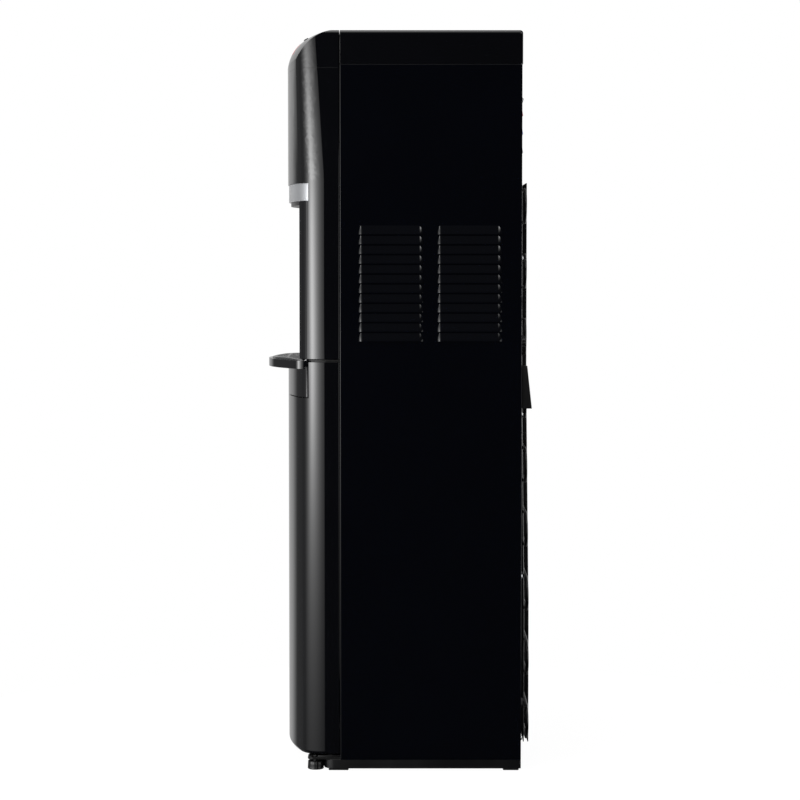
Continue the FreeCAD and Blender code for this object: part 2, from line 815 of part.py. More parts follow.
def head_cap():
    above = box(-half - 1, half + 1, front_y - 1, 0, fascia_top, height + 1)
    outer = nose_solid().common(above).cut(seam_cutter(fascia_top - 1, height + 1))
    shell = outer.cut(nose_solid(fascia_wall, 0.0))
    rib = box(board_width / 2, board_width / 2 + rib_wall, front_y, front_rear_y - rib_set_back, fascia_top,
              height)
    ribs = both_sides(rib.common(nose_solid(fascia_wall / 2)))
    spots = [along_nose(radial_box(button_angle, 0, button_width + 2 * fit_gap, button_length + 2 * fit_gap,
                                   nose_radius - button_depth - 1, nose_radius + 1), x)
             for _, x in button_spots()]
    slot = radial_box(lock_angle, 0, lock_width + lock_travel + 2 * fit_gap, lock_length + 2 * fit_gap,
                      nose_radius - button_depth - 1, nose_radius + 1)
    return joined([shell, ribs]).cut(group(spots + [along_nose(slot, spout_pitch)]))


def button(x):
    block = radial_box(button_angle, 0, button_width, button_length, nose_radius - button_depth,
                       nose_radius + 1)
    cap = cylinder_x(nose_radius + button_proud, nose_y, nose_z, -half, half)
    return along_nose(block.common(cap), x)


def child_lock():
    low, x = nose_radius - lock_depth, -lock_travel / 2
    grip = radial_box(lock_angle, x, lock_width, lock_length, low, nose_radius + lock_proud)
    foot = radial_box(lock_angle, x, lock_width, lock_length + 2 * lock_foot_lip, low,
                      nose_radius - fascia_wall - 2 * fit_gap)
    return along_nose(joined([grip, foot]), spout_pitch)


def control_board():
    """Flat board whose middle switch is taller, as the outer buttons sit further back."""
    arc = nose_axis_y() - front_y
    sink = (arc - math.sqrt(arc ** 2 - spout_pitch ** 2)) * math.sin(math.radians(button_angle))
    switch_top = nose_radius - button_depth - button_travel - board_gap
    top = switch_top - switch_height - sink
    board = radial_box(button_angle, 0, board_width, board_length, top - board_sheet, top)
    domes = [along_nose(radial_box(button_angle, 0, switch_pad, switch_pad, foot, switch_top), x)
             for x, foot in ((-spout_pitch, top + sink / 2), (0, top), (spout_pitch, top + sink / 2))]
    return joined([board] + domes)


def front_fascia():
    """Pillars beside the alcove, band seat and head front, in one moulding."""
    seat = band_inset + band_wall + band_gap
    above = box(-half - 1, half + 1, front_y - 1, 1, head_start, fascia_top + 1)
    trimmed = box(-half - 1, half + 1, front_y - 1, 1, head_start - 1, fascia_top)
    outer = front_block(fascia_bottom, head_start).fuse(head_block().common(trimmed))
    band_foot = band_bottom - fascia_wall
    rooms = [front_block(fascia_bottom - 1, band_foot, fascia_wall, 0.0),
             front_block(band_foot, head_start, seat + fascia_wall, 0.0),
             head_block(fascia_wall, 0.0).common(above)]
    shell = outer.cut(joined(rooms))
    alcove = box(-alcove_half, alcove_half, front_y - 1, front_rear_y, fascia_bottom - 1, band_bottom)
    recess = box(-band_half - fit_gap, band_half + fit_gap, front_y - 1, side_tangent_y, band_bottom,
                 band_top)
    groove = recess.cut(front_block(band_bottom - 1, band_top + 1, seat, 0.0))
    edge = box(alcove_half, alcove_half + fascia_wall, front_y, liner_front_y, fascia_bottom, band_bottom)
    edge = both_sides(edge.common(front_block(fascia_bottom, band_bottom, fascia_wall / 2)))
    step = (fascia_top - fascia_bottom - 3 * fascia_tab_height) / (fascia_tab_count - 1)
    tabs = [box(inner_half - post_width, half - fascia_wall / 2, front_rear_y - fascia_wall, post_front_y, z,
                z + fascia_tab_height)
            for z in (fascia_bottom + 1.5 * fascia_tab_height + k * step for k in range(fascia_tab_count))]
    shell = shell.cut(alcove).cut(groove).cut(seam_cutter(fascia_bottom - 1, fascia_top + 1))
    return joined([shell, edge] + tabs + [mirrored(tab) for tab in tabs])


def trim_band():
    outer = front_block(band_bottom, band_top, band_inset)
    ring = outer.cut(front_block(band_bottom, band_top, band_inset + band_wall, 0.0))
    return ring.common(box(-band_half, band_half, front_y, side_tangent_y, band_bottom, band_top))


# ---- alcove ----------------------------------------------------------------
def spout_xs():
    return [-spout_pitch, 0.0, spout_pitch]


def alcove_liner():
    side, wall = alcove_half + liner_wall, liner_wall
    outer = box(-side, side, liner_front_y, alcove_back_y + wall, fascia_bottom, ceiling_top)
    inner = box(-alcove_half, alcove_half, liner_front_y - 1, alcove_back_y, fascia_bottom + wall,
                band_bottom)
    corners = [e for e in inner.Edges if abs(e.CenterOfMass.y - alcove_back_y) < 1e-6
               and abs(abs(e.CenterOfMass.x) - alcove_half) < 1e-6]
    liner = outer.cut(inner.makeFillet(liner_corner, corners))
    holes = [cylinder(spout_radius + fit_gap, x, spout_y, band_bottom - 1, ceiling_top + 1)
             for x in spout_xs()]
    holes.append(cylinder(lamp_radius + fit_gap, 0, lamp_y, band_bottom - 1, ceiling_top + 1))
    return liner.cut(group(holes))


def nozzle_cover():
    z0, z1 = band_bottom - nozzle_plate, band_bottom
    side, rear = alcove_half - fit_gap, alcove_back_y - fit_gap
    plate = front_block(z0, z1, nozzle_inset, 0.0).common(box(-side, side, front_y, rear, z0, z1))
    corner = box(alcove_half - liner_corner, half, alcove_back_y - liner_corner, 0, z0, z1)
    holes = [cylinder(spout_radius + fit_gap, x, spout_y, z0 - 1, z1 + 1) for x in spout_xs()]
    holes.append(cylinder(lamp_radius + fit_gap, 0, lamp_y, z0 - 1, z1 + 1))
    return plate.cut(both_sides(corner)).cut(group(holes))


def spout(x):
    foot = band_bottom - nozzle_plate - spout_drop
    tube = cylinder(spout_radius, x, spout_y, foot, ceiling_top)
    collar = cylinder(collar_radius, x, spout_y, ceiling_top, ceiling_top + collar_height)
    bore = cylinder(spout_bore, x, spout_y, foot - 1, ceiling_top + collar_height + 1)
    lip = [e for e in tube.Edges if abs(e.CenterOfMass.z - foot) < 1e-6 and isinstance(e.Curve, Part.Circle)]
    return tube.makeChamfer(spout_chamfer, lip).fuse(collar).cut(bore)


def solenoid_valve(x):
    side, rear = valve_size / 2, spout_y + valve_size / 2
    z0 = ceiling_top + collar_height
    body = box(x - side, x + side, spout_y - side, rear, z0, z0 + 2 * valve_size)
    coil = cylinder(side - valve_coil_inset, x, spout_y, z0 + 2 * valve_size,
                    z0 + 2 * valve_size + valve_coil_height)
    port = cylinder_y(hose_radius, x, port_z, rear, valve_rear_y)
    return joined([body, coil, port])


def alcove_lamp():
    lens = cylinder(lamp_radius, 0, lamp_y, band_bottom - nozzle_plate, ceiling_top)
    return lens.fuse(cylinder(lamp_radius + lamp_flange, 0, lamp_y, ceiling_top,
                              ceiling_top + lamp_flange_height))


# ---- door and hinge --------------------------------------------------------
def door_skin():
    outer = front_block(door_bottom, door_top)
    rims = [e for e in outer.Edges if abs(e.CenterOfMass.z - door_bottom) < 1e-6
            and e.CenterOfMass.y < front_rear_y - 1]
    outer = outer.makeFillet(door_bottom_round, rims)
    shell = outer.cut(front_block(door_bottom + door_wall, door_top - door_wall, door_wall, 0.0))
    notch = box(-notch_half, notch_half, front_y - 1, notch_back_y, notch_bottom, door_top + 1)
    shell = shell.cut(notch)
    room = front_block(notch_bottom - door_wall, door_top, door_wall / 2)
    around = box(-notch_half - door_wall, notch_half + door_wall, front_y - 1, notch_back_y + door_wall,
                 notch_bottom - door_wall, door_top)
    pocket = around.cut(notch).common(room)
    holes = [cylinder(bush_radius + pin_gap, hinge_x, hinge_y, z0, z1)
             for z0, z1 in ((door_bottom - 1, door_bottom + 2 * door_wall),
                            (door_top - 2 * door_wall, door_top + 1))]
    return joined([shell, pocket]).cut(group(holes)).cut(seam_cutter(door_bottom - 1, door_top + 1))


def door_liner():
    """Rear sheet of the door, with a curved pan that gives the bottle room."""
    side = half - door_wall
    low, high = door_bottom + pan_margin, notch_bottom - door_wall - fit_gap
    plate = box(-side, side, liner_rear_y - liner_plate, liner_rear_y, door_bottom + door_wall,
                door_top - door_wall)
    pan = front_block(low, high, pan_inset, liner_rear_y)
    room = front_block(low + liner_plate, high - liner_plate, pan_inset + liner_plate, 0.0)
    return joined([plate, pan]).cut(room)


def hinge_bush(z0, flange_z0, flange_z1):
    body = cylinder(bush_radius, hinge_x, hinge_y, z0, z0 + bush_length)
    flange = cylinder(bush_radius + bush_flange, hinge_x, hinge_y, flange_z0, flange_z1)
    return body.fuse(flange).cut(cylinder(pin_radius + pin_gap, hinge_x, hinge_y, z0 - 1,
                                          z0 + bush_length + 1))


def lower_bush():
    return hinge_bush(bracket_top + fit_gap, bracket_top + fit_gap, door_bottom)


def upper_bush():
    inner_top = door_top - door_wall
    return hinge_bush(door_top - bush_length, inner_top - bush_flange_height, inner_top)


def hinge_pins():
    lower = cylinder(pin_radius, hinge_x, hinge_y, bracket_top, bracket_top + bush_length - pin_end_gap)
    upper = cylinder(pin_radius, hinge_x, hinge_y, door_top - bush_length + 2 * pin_end_gap,
                     door_top + hinge_arm_gap)
    return [lower, upper]


def upper_hinge_bracket():
    z0, z1 = door_top + hinge_arm_gap, fascia_bottom - hinge_arm_gap
    side = inner_half - hinge_arm_gap
    arm = box(hinge_x - hinge_arm, side, hinge_y - hinge_arm, post_front_y, z0, z1)
    leaf = box(inner_half - post_width + hinge_arm_gap, side, post_front_y - hinge_leaf_sheet, post_front_y,
               z1, z1 + hinge_leaf_height)
    return arm.fuse(leaf)


def magnet_zs():
    return [door_bottom + magnet_low, door_top - magnet_high]


def door_magnets():
    x = magnet_from_side - half
    return [box(x, x + magnet_width, liner_rear_y, post_front_y - catch_sheet - fit_gap, z, z + magnet_height)
            for z in magnet_zs()]


def catch_plates():
    x = magnet_from_side - half - catch_side_step
    return [box(x, x + magnet_width, post_front_y - catch_sheet, post_front_y, z - catch_lap,
                z + magnet_height + catch_lap) for z in magnet_zs()]


# ---- drip tray -------------------------------------------------------------
def grille_block(z0, z1, inset=0.0):
    """Plan of the grille, short of the alcove so that it lifts straight out."""
    corner = tray_corner - grille_margin / 2
    tangent_y = grille_back_y - grille_straight
    wire = outline(z0, grille_half, grille_back_y - inset, tangent_y, tangent_y - tray_tip_y - grille_edge,
                   corner, inset)
    return Part.Face(wire).extrude(V(0, 0, z1 - z0))


def drip_tray():
    """Rim, curved apron and sump in one moulding that drops into the door's notch."""
    low = notch_bottom + tray_side_gap
    apron_half = notch_half - tray_side_gap
    rear = notch_back_y - tray_side_gap
    rim = tray_block(rim_bottom, tray_top)
    inside_apron = front_block(low, rim_bottom + tray_floor, door_wall, 0.0)
    apron = front_block(low, rim_bottom + tray_floor).cut(inside_apron)
    apron = apron.common(box(-apron_half, apron_half, front_y, rear - apron_return, low,
                             rim_bottom + tray_floor))
    sump_front = front_y + sump_set_back
    sump = box(-sump_half, sump_half, sump_front, rear, low, rim_bottom)
    recess = grille_block(tray_top - grille_sheet, tray_top + 1)
    basin = grille_block(rim_bottom + tray_floor, tray_top, ledge_width)
    well = box(-sump_half + tray_wall, sump_half - tray_wall, sump_front + tray_wall, rear - tray_wall,
               low + tray_floor, tray_top - grille_sheet)
    return joined([rim, apron, sump]).cut(recess).cut(basin).cut(well)


def drip_grille():
    z0, z1 = tray_top - grille_sheet, tray_top
    plate = grille_block(z0, z1, fit_gap)
    field = grille_block(z0 - 1, z1 + 1, grille_border)
    count = int((grille_half - grille_border - grille_slot) / grille_pitch)
    bars = [box(k * grille_pitch - grille_slot / 2, k * grille_pitch + grille_slot / 2, tray_tip_y,
                notch_back_y, z0 - 1, z1 + 1) for k in range(-count, count + 1)]
    spine_y = (tray_tip_y + grille_edge + grille_back_y) / 2
    spine = box(-grille_half, grille_half, spine_y - grille_slot / 2, spine_y + grille_slot / 2, z0 - 1,
                z1 + 1)
    return plate.cut(group(bars).common(field.cut(spine)))


# ---- bottle compartment ----------------------------------------------------
def bottle_floor():
    side, ring_top = inner_half - fit_gap, bottle_floor_top + guide_height
    plate = box(-side, side, post_rear_y, back_inner_y, plinth_top, bottle_floor_top)
    middle_y = back_inner_y - guide_radius - guide_gap
    ring = cylinder(guide_radius, 0, middle_y, plinth_top, ring_top)
    ring = ring.cut(cylinder(guide_radius - guide_wall, 0, middle_y, plinth_top, ring_top))
    behind = box(-half, half, middle_y, back_inner_y, plinth_top, ring_top)
    return joined([plate, ring.common(behind)])


def mid_shelf():
    inside = inner_half - post_width
    front = box(-inside, inside, post_front_y, post_rear_y, beam_top, shelf_top)
    main = box(-inner_half, inner_half, post_rear_y, back_inner_y, beam_top, shelf_top)
    flange = box(inner_half - shelf_sheet, inner_half, post_rear_y, back_inner_y, beam_top - shelf_flange,
                 beam_top)
    hole = cylinder(hose_radius + hose_clearance, hose_drop_x, pump_y, beam_top - 1, shelf_top + 1)
    return joined([front, main, flange, mirrored(flange)]).cut(hole)


def probe_hanger():
    """Forked shelf bracket that the bottle probe hangs in."""
    neck = dip_tube_radius + probe_collar
    low, front, rear = probe_seat_z - hanger_sheet, probe_y - hanger_front, probe_y + neck + hanger_rear
    riser_x = probe_x + probe_cap_radius + hanger_gap
    arm = box(probe_x - neck - hanger_tine, riser_x, front, rear, low, probe_seat_z)
    mouth = box(probe_x - neck - fit_gap, probe_x + neck + fit_gap, front - 1, probe_y, low - 1,
                probe_seat_z + 1)
    fork = mouth.fuse(cylinder(neck + fit_gap, probe_x, probe_y, low - 1, probe_seat_z + 1))
    riser = box(riser_x, riser_x + hanger_sheet, front, rear, low, beam_top)
    return joined([arm.cut(fork), riser])


def bottle_probe():
    cap = cylinder(probe_cap_radius, probe_x, probe_y, probe_seat_z, probe_seat_z + probe_cap_height)
    rims = [e for e in cap.Edges if isinstance(e.Curve, Part.Circle) and e.CenterOfMass.z > probe_seat_z + 1]
    cap = cap.makeFillet(probe_cap_round, rims)
    collar_z = probe_seat_z - probe_collar_height
    collar = cylinder(dip_tube_radius + probe_collar, probe_x, probe_y, collar_z, probe_seat_z)
    low = bottle_floor_top + probe_tip_gap
    tube = cylinder(dip_tube_radius, probe_x, probe_y, low + probe_tip_height, collar_z)
    tip = cylinder(dip_tube_radius + probe_tip_lip, probe_x, probe_y, low, low + probe_tip_height)
    return joined([cap, collar, tube, tip])


# ---- machine compartment ---------------------------------------------------
def compressor_feet():
    reach_x = compressor_foot_pitch / 2
    return [(compressor_x + sx * reach_x, compressor_y + sy * reach_x) for sx in (-1, 1) for sy in (-1, 1)]


def compressor_cylinder(radius, z0, z1):
    return cylinder(radius, compressor_x, compressor_y, z0, z1)


def compressor():
    """Welded shell on a foot plate, with a core in place of its motor and pump."""
    z0 = shelf_top + grommet_height
    low = z0 + compressor_foot
    top = low + compressor_body
    shell = rounded(compressor_cylinder(compressor_radius, low, top), compressor_round)
    room = rounded(compressor_cylinder(compressor_radius - compressor_wall, low + compressor_wall,
                                       top - compressor_wall), compressor_round - compressor_wall)
    motor = compressor_cylinder(motor_radius, low, low + motor_height)
    cap = compressor_cylinder(compressor_radius - compressor_cap_inset, top, top + compressor_cap_height)
    weld_z = (low + top) / 2
    weld = compressor_cylinder(compressor_radius + compressor_seam, weld_z, weld_z + compressor_seam_height)
    reach_x = compressor_foot_pitch / 2 + grommet_radius
    plate = box(compressor_x - reach_x, compressor_x + reach_x, compressor_y - reach_x,
                compressor_y + reach_x, z0, low)
    corners = [e for e in plate.Edges if abs(e.CenterOfMass.z - (z0 + low) / 2) < 1e-6]
    plate = plate.makeFillet(grommet_radius, corners)
    stubs = [cylinder_x(line_radius, y, gas_port_z, gas_port_x, compressor_x)
             for y in (discharge_y, suction_y)]
    holes = [cylinder(bolt_hole, x, y, z0 - 1, low + 1) for x, y in compressor_feet()]
    return joined([joined([shell, cap, weld, plate] + stubs).cut(room), motor]).cut(group(holes))


def compressor_grommets():
    top = shelf_top + grommet_height
    return [cylinder(grommet_radius, x, y, shelf_top, top).cut(cylinder(bolt_hole, x, y, shelf_top, top))
            for x, y in compressor_feet()]


def compressor_bolts():
    top = shelf_top + grommet_height + compressor_foot
    return [cylinder(bolt_radius, x, y, shelf_top, top).fuse(cylinder(bolt_head_radius, x, y, top, top + bolt_head))
            for x, y in compressor_feet()]


def relay_cover():
    z0 = shelf_top + relay_rise
    x = compressor_x + math.sqrt(compressor_radius ** 2 - (relay_width / 2) ** 2)
    block = box(x - relay_wrap, compressor_x + compressor_radius + relay_depth,
                compressor_y - relay_width / 2, compressor_y + relay_width / 2, z0, z0 + relay_height)
    return block.cut(compressor_cylinder(compressor_radius + compressor_seam, z0 - 1, z0 + relay_height + 1))


def water_pump():
    top = shelf_top + pump_height
    base = box(pump_x - pump_radius, pump_x + pump_radius, pump_y - pump_radius, pump_y + pump_radius,
               shelf_top, shelf_top + pump_base)
    motor = cylinder(pump_radius - 1, pump_x, pump_y, shelf_top + pump_base, top)
    outlet = cylinder(hose_radius, pump_x, pump_y, top, top + pump_outlet)
    inlet = cylinder_x(hose_radius, pump_y, shelf_top + pump_inlet_rise, pump_x, pump_nozzle_x)
    return joined([base, motor, outlet, inlet])


def probe_hose():
    """Suction hose from the probe cap up through the shelf to the pump."""
    cap_top, inlet = probe_seat_z + probe_cap_height, shelf_top + pump_inlet_rise
    level = (cap_top + beam_top) / 2
    return pipe([(pump_nozzle_x, pump_y, inlet), (hose_drop_x, pump_y, inlet), (hose_drop_x, pump_y, level),
                 (hose_drop_x, probe_y, level), (probe_x, probe_y, level), (probe_x, probe_y, cap_top)],
                hose_radius, hose_bend)


def discharge_line():
    return pipe([(gas_port_x, discharge_y, gas_port_z), (riser_x, discharge_y, gas_port_z),
                 (riser_x, discharge_y, vapour_z), (return_x, discharge_y, vapour_z),
                 (return_x, back_inner_y, vapour_z)], condenser_tube, line_bend)


def suction_line():
    return pipe([(cold_x, coil_front_y, coil_bottom_z - coil_tube), (cold_x, coil_front_y, gas_port_z),
                 (cold_x, suction_y, gas_port_z), (gas_port_x, suction_y, gas_port_z)],
                header_radius, line_bend)


def filter_drier():
    front, rear = drier_front_y + drier_neck, drier_rear_y - drier_neck
    body = rounded(cylinder_y(drier_radius, return_x, liquid_z, front, rear), drier_round)
    neck = cylinder_y(condenser_tube, return_x, liquid_z, drier_front_y, back_inner_y)
    return joined([body, neck])


def capillary_tube():
    x, low = cold_x - capillary_side, deck_bottom - capillary_drop
    return pipe([(return_x, drier_front_y, liquid_z), (return_x, capillary_y, liquid_z),
                 (return_x, capillary_y, low),
                 (x, capillary_y, low), (x, capillary_y, cold_floor)], capillary_radius, line_bend)


def power_board():
    """Board on four standoffs, with a transformer and a relay."""
    x0, x1 = compressor_x - power_board_width / 2, compressor_x + power_board_width / 2
    z0 = shelf_top + power_board_rise
    z1, rear = z0 + power_board_height, back_inner_y - standoff_length
    front = rear - board_sheet
    board = box(x0, x1, front, rear, z0, z1)
    posts = [cylinder_y(standoff_radius, x, z, rear, back_inner_y)
             for x in (x0 + standoff_inset, x1 - standoff_inset)
             for z in (z0 + standoff_inset, z1 - standoff_inset)]
    transformer = box(x0 + 2 * standoff_inset, compressor_x - standoff_inset, front - transformer_depth,
                      front, z0 + 2 * standoff_inset, z0 + power_board_height / 2)
    relay = box(compressor_x, x1 - 2 * standoff_inset, front - relay_block_depth, front,
                z0 + power_board_height / 2 + standoff_inset, z1 - 2 * standoff_inset)
    return joined([board, transformer, relay] + posts)


# ---- tanks -----------------------------------------------------------------
def tank_deck():
    front, side, flange_z = alcove_back_y + liner_wall, inner_half, deck_bottom - shelf_flange
    plate = box(-side, side, front, back_inner_y, deck_bottom, deck_top)
    flange = box(side - shelf_sheet, side, post_rear_y + deck_notch, back_inner_y, flange_z, deck_bottom)
    apron = box(-alcove_half, alcove_half, front, front + shelf_sheet, flange_z, deck_bottom)
    holes = [cylinder(radius + hose_clearance, x, y, deck_bottom - 1, deck_top + 1)
             for radius, x, y in ((header_radius, cold_x, coil_front_y),
                                  (capillary_radius, cold_x - capillary_side, capillary_y),
                                  (hose_radius, pump_x, pump_y),
                                  (hose_radius, fittings_x, drain_hose_y))]
    return joined([plate, flange, mirrored(flange), apron]).cut(group(holes))


def tank_outlet(x, tank_x, radius):
    """Bar from a tank's round wall to where its hose is pushed on."""
    wall_y = tank_y - math.sqrt(radius ** 2 - (x - tank_x) ** 2)
    return cylinder_y(hose_radius, x, port_z, outlet_y, wall_y + tank_wall)


def cold_tank():
    body = cylinder(cold_radius, cold_x, tank_y, cold_floor, cold_top)
    hollow = cylinder(cold_radius - tank_wall, cold_x, tank_y, cold_floor + tank_wall, cold_top - tank_wall)
    return body.fuse(tank_outlet(cold_port_x, cold_x, cold_radius)).cut(hollow)


def evaporator_coil():
    rings = [Part.makeTorus(coil_circle, coil_tube, V(cold_x, tank_y, coil_bottom_z + k * coil_pitch))
             for k in range(coil_rings)]
    header = cylinder(header_radius, cold_x, coil_front_y, coil_bottom_z, coil_top_z)
    return joined(rings + [header])


def foam_half(side):
    z0, z1 = deck_top, cold_top + foam_base
    outer = cylinder(foam_radius, cold_x, tank_y, z0, z1)
    holes = [cylinder(foam_inner, cold_x, tank_y, cold_floor, cold_top),
             cylinder_y(hose_radius + hose_clearance, cold_port_x, port_z, tank_y - foam_radius - 1, tank_y),
             cylinder(header_radius + hose_clearance, cold_x, coil_front_y, z0 - 1, cold_floor + 1),
             cylinder(capillary_radius + hose_clearance, cold_x - capillary_side, capillary_y, z0 - 1,
                      cold_floor + 1),
             cylinder_x(hose_radius + hose_clearance, tank_y, port_z, cold_x, cold_x + foam_radius + 1),
             cylinder(hose_radius + hose_clearance, cold_x, tank_y, cold_top - 1, z1 + 1)]
    y0, y1 = sorted((tank_y, tank_y + side * 2 * foam_radius))
    keep = box(cold_x - 2 * foam_radius, cold_x + 2 * foam_radius, y0, y1, z0, z1)
    return outer.common(keep).cut(group(holes))


def hot_cylinder(radius, z0, z1):
    return cylinder(radius, hot_x, tank_y, z0, z1)


def hot_tank():
    top = hot_floor + hot_height
    body = rounded(hot_cylinder(hot_radius, hot_floor, top), hot_round)
    room = rounded(hot_cylinder(hot_radius - tank_wall, hot_floor + tank_wall, top - tank_wall),
                   hot_round - tank_wall)
    legs = [cylinder(tank_leg_radius, hot_x + tank_leg_circle * math.cos(a),
                     tank_y + tank_leg_circle * math.sin(a), deck_top, hot_floor + tank_wall)
            for a in (math.pi / 6, math.pi * 5 / 6, math.pi * 3 / 2)]
    return joined([body, tank_outlet(hot_port_x, hot_x, hot_radius)] + legs).cut(room)


def heater_band():
    z0 = hot_floor + hot_height / 2
    ring = hot_cylinder(hot_radius + heater_wall, z0, z0 + heater_height)
    return ring.cut(hot_cylinder(hot_radius, z0, z0 + heater_height))


def hot_jacket():
    z0, z1 = hot_floor + jacket_foot_gap, hot_floor + hot_height - jacket_top_gap
    ring = hot_cylinder(jacket_radius, z0, z1).cut(hot_cylinder(jacket_inner, z0, z1))
    holes = [cylinder_y(hose_radius + hose_clearance, hot_port_x, port_z, tank_y - jacket_radius - 1, tank_y),
             cylinder_y(hose_radius + hose_clearance, hot_x, port_z, tank_y, tank_y + jacket_radius + 1),
             cylinder_x(hose_radius + hose_clearance, tank_y, port_z, hot_x - jacket_radius - 1, hot_x)]
    return ring.cut(group(holes))


def tank_link():
    return cylinder_x(hose_radius, tank_y, port_z, cold_x + cold_radius, hot_x - hot_radius)


def spout_hoses():
    """Hoses from the two tanks and from the pump to the three valves."""
    bend_y = outlet_y - outlet_length
    hoses = [pipe([(x, outlet_y, port_z), (x, bend_y, port_z), (valve_x, valve_rear_y + outlet_length, port_z),
                   (valve_x, valve_rear_y, port_z)], hose_radius, line_bend)
             for x, valve_x in ((cold_port_x, -spout_pitch), (hot_port_x, spout_pitch))]
    level = port_z + crossing_rise
    hoses.append(pipe([(pump_x, pump_y, shelf_top + pump_height + pump_outlet), (pump_x, pump_y, level),
                       (0, pump_y, level), (0, pump_y, port_z), (0, valve_rear_y, port_z)],
                      hose_radius, line_bend))
    return hoses


def drain_hose():
    rear, back = tank_y + hot_radius, back_inner_y - drain_inner
    return pipe([(hot_x, rear, port_z), (hot_x, drain_hose_y, port_z), (fittings_x, drain_hose_y, port_z),
                 (fittings_x, drain_hose_y, drain_z), (fittings_x, back, drain_z)], hose_radius,
                 line_bend + 2)


def tank_feed():
    """Branch from the pump's riser over the foam and down into the cold tank."""
    x, start = pump_x + feed_step, port_z + crossing_rise + hose_radius
    over = cold_top + foam_base + hose_radius + hose_run
    return pipe([(x, pump_y, start), (x, pump_y, over), (x, tank_y, over), (cold_x, tank_y, over),
                 (cold_x, tank_y, cold_top)], hose_radius - 1, feed_bend)


# ---- rear fittings ---------------------------------------------------------
def run_place(k):
    z = condenser_bottom_z + k * condenser_pitch
    return coil_y + (condenser_step if k < step_run else 0.0), z


def condenser_coil():
    """Serpentine tube behind the cabinet; both ends reach through the rear panel."""
    bend, side = condenser_bend, -1
    turn = bend * math.sqrt(0.5)
    low_y, low_z = run_place(0)
    x, high_y, high_z = return_x + bend, *run_place(condenser_runs - 1)
    edges = [
        Part.LineSegment(V(return_x, back_inner_y, liquid_z), V(return_x, low_y - bend, liquid_z)).toShape(),
        Part.Arc(V(return_x, low_y - bend, liquid_z),
                 V(return_x, low_y - bend + turn, liquid_z - bend + turn),
                 V(return_x, low_y, liquid_z - bend)).toShape(),
        Part.LineSegment(V(return_x, low_y, liquid_z - bend), V(return_x, low_y, low_z + bend)).toShape(),
        Part.Arc(V(return_x, low_y, low_z + bend), V(x - turn, low_y, low_z + bend - turn),
                 V(x, low_y, low_z)).toShape(),
    ]
    start = V(x, low_y, low_z)
    for k in range(condenser_runs - 1):
        y, z = run_place(k)
        end = V(condenser_right if side < 0 else condenser_left, y, z)
        edges.append(Part.LineSegment(start, end).toShape())
        next_y, next_z = run_place(k + 1)
        across = V(0, next_y - y, next_z - z)
        peak = end + across * 0.5 + V(-side * across.Length / 2, 0, 0)
        start = V(end.x, next_y, next_z)
        edges.append(Part.Arc(end, peak, start).toShape())
        side = -side
    edges += [
        Part.LineSegment(start, V(x, high_y, high_z)).toShape(),
        Part.Arc(V(x, high_y, high_z), V(x - turn, high_y, high_z - bend + turn),
                 V(return_x, high_y, high_z - bend)).toShape(),
        Part.LineSegment(V(return_x, high_y, high_z - bend), V(return_x, high_y, vapour_z + bend)).toShape(),
        Part.Arc(V(return_x, high_y, vapour_z + bend),
                 V(return_x, high_y - bend + turn, vapour_z + bend - turn),
                 V(return_x, high_y - bend, vapour_z)).toShape(),
        Part.LineSegment(V(return_x, high_y - bend, vapour_z), V(return_x, back_inner_y, vapour_z)).toShape(),
    ]
    profile = Part.Wire([Part.Circle(V(return_x, back_inner_y, liquid_z), Y_AXIS, condenser_tube).toShape()])
    return Part.Wire(edges).makePipeShell([profile], True, True)


def condenser_wires():
    low_y, low_z = run_place(0)
    high_y, high_z = run_place(condenser_runs - 1)
    below, above = run_place(step_run - 1)[1] + wire_step, run_place(step_run)[1] - wire_step
    first_x = condenser_left + wire_margin
    pitch = (condenser_right - wire_margin - first_x) / (wire_count - 1)
    seat = condenser_tube + wire_radius
    return [pipe([(x, low_y + offset, low_z - wire_end), (x, low_y + offset, below), (x, high_y + offset, above),
                  (x, high_y + offset, high_z + wire_end)], wire_radius, wire_bend)
            for offset in (-seat, seat) for x in (first_x + k * pitch for k in range(wire_count))]


def clip_runs():
    return [1, step_run - 2, step_run + 2, condenser_runs - 2]


def condenser_clips():
    clips = []
    for y, z in (run_place(k) for k in clip_runs()):
        for x in (condenser_left + clip_reach, condenser_right - clip_reach):
            clips.append(box(x - clip_width / 2, x + clip_width / 2, rear_y - sheet, y - condenser_tube,
                             z - clip_height / 2, z + clip_height / 2))
    return clips


def wall_spacers():
    z0, z1 = spacer_bottom_z, spacer_bottom_z + spacer_height
    x = spacer_x - spacer_width / 2
    profile = Part.makePolygon([V(x, rear_y, z0), V(x, rear_y + spacer_depth, z0),
                                V(x, rear_y + spacer_top_depth, z1), V(x, rear_y, z1), V(x, rear_y, z0)])
    wedge = Part.Face(profile).extrude(V(spacer_width, 0, 0))
    return [wedge, mirrored(wedge)]


def switch_spots():
    return [("heating_switch", switch_z + switch_pitch), ("cooling_switch", switch_z),
            ("lamp_switch", switch_z - switch_pitch)]


def bezel_block(y0, y1, margin):
    """Block round the three switches, wider than them by a margin."""
    side, rise = switch_width / 2 + margin, switch_pitch + switch_length / 2 + margin
    return box(switch_x - side, switch_x + side, y0, y1, switch_z - rise, switch_z + rise)


def switch_cutout(y0, y1, gap):
    return bezel_block(y0, y1, bezel_wall - bezel_lap + gap)


def switch_bezel():
    body_y = back_inner_y - switch_depth
    flange = bezel_block(rear_y - sheet, bezel_face_y, bezel_wall)
    body = switch_cutout(body_y, rear_y - sheet, 0.0)
    wells = [box(switch_x - switch_width / 2, switch_x + switch_width / 2, body_y + bezel_wall,
                 bezel_face_y + 1, z - switch_length / 2, z + switch_length / 2) for _, z in switch_spots()]
    return joined([flange, body]).cut(group(wells))


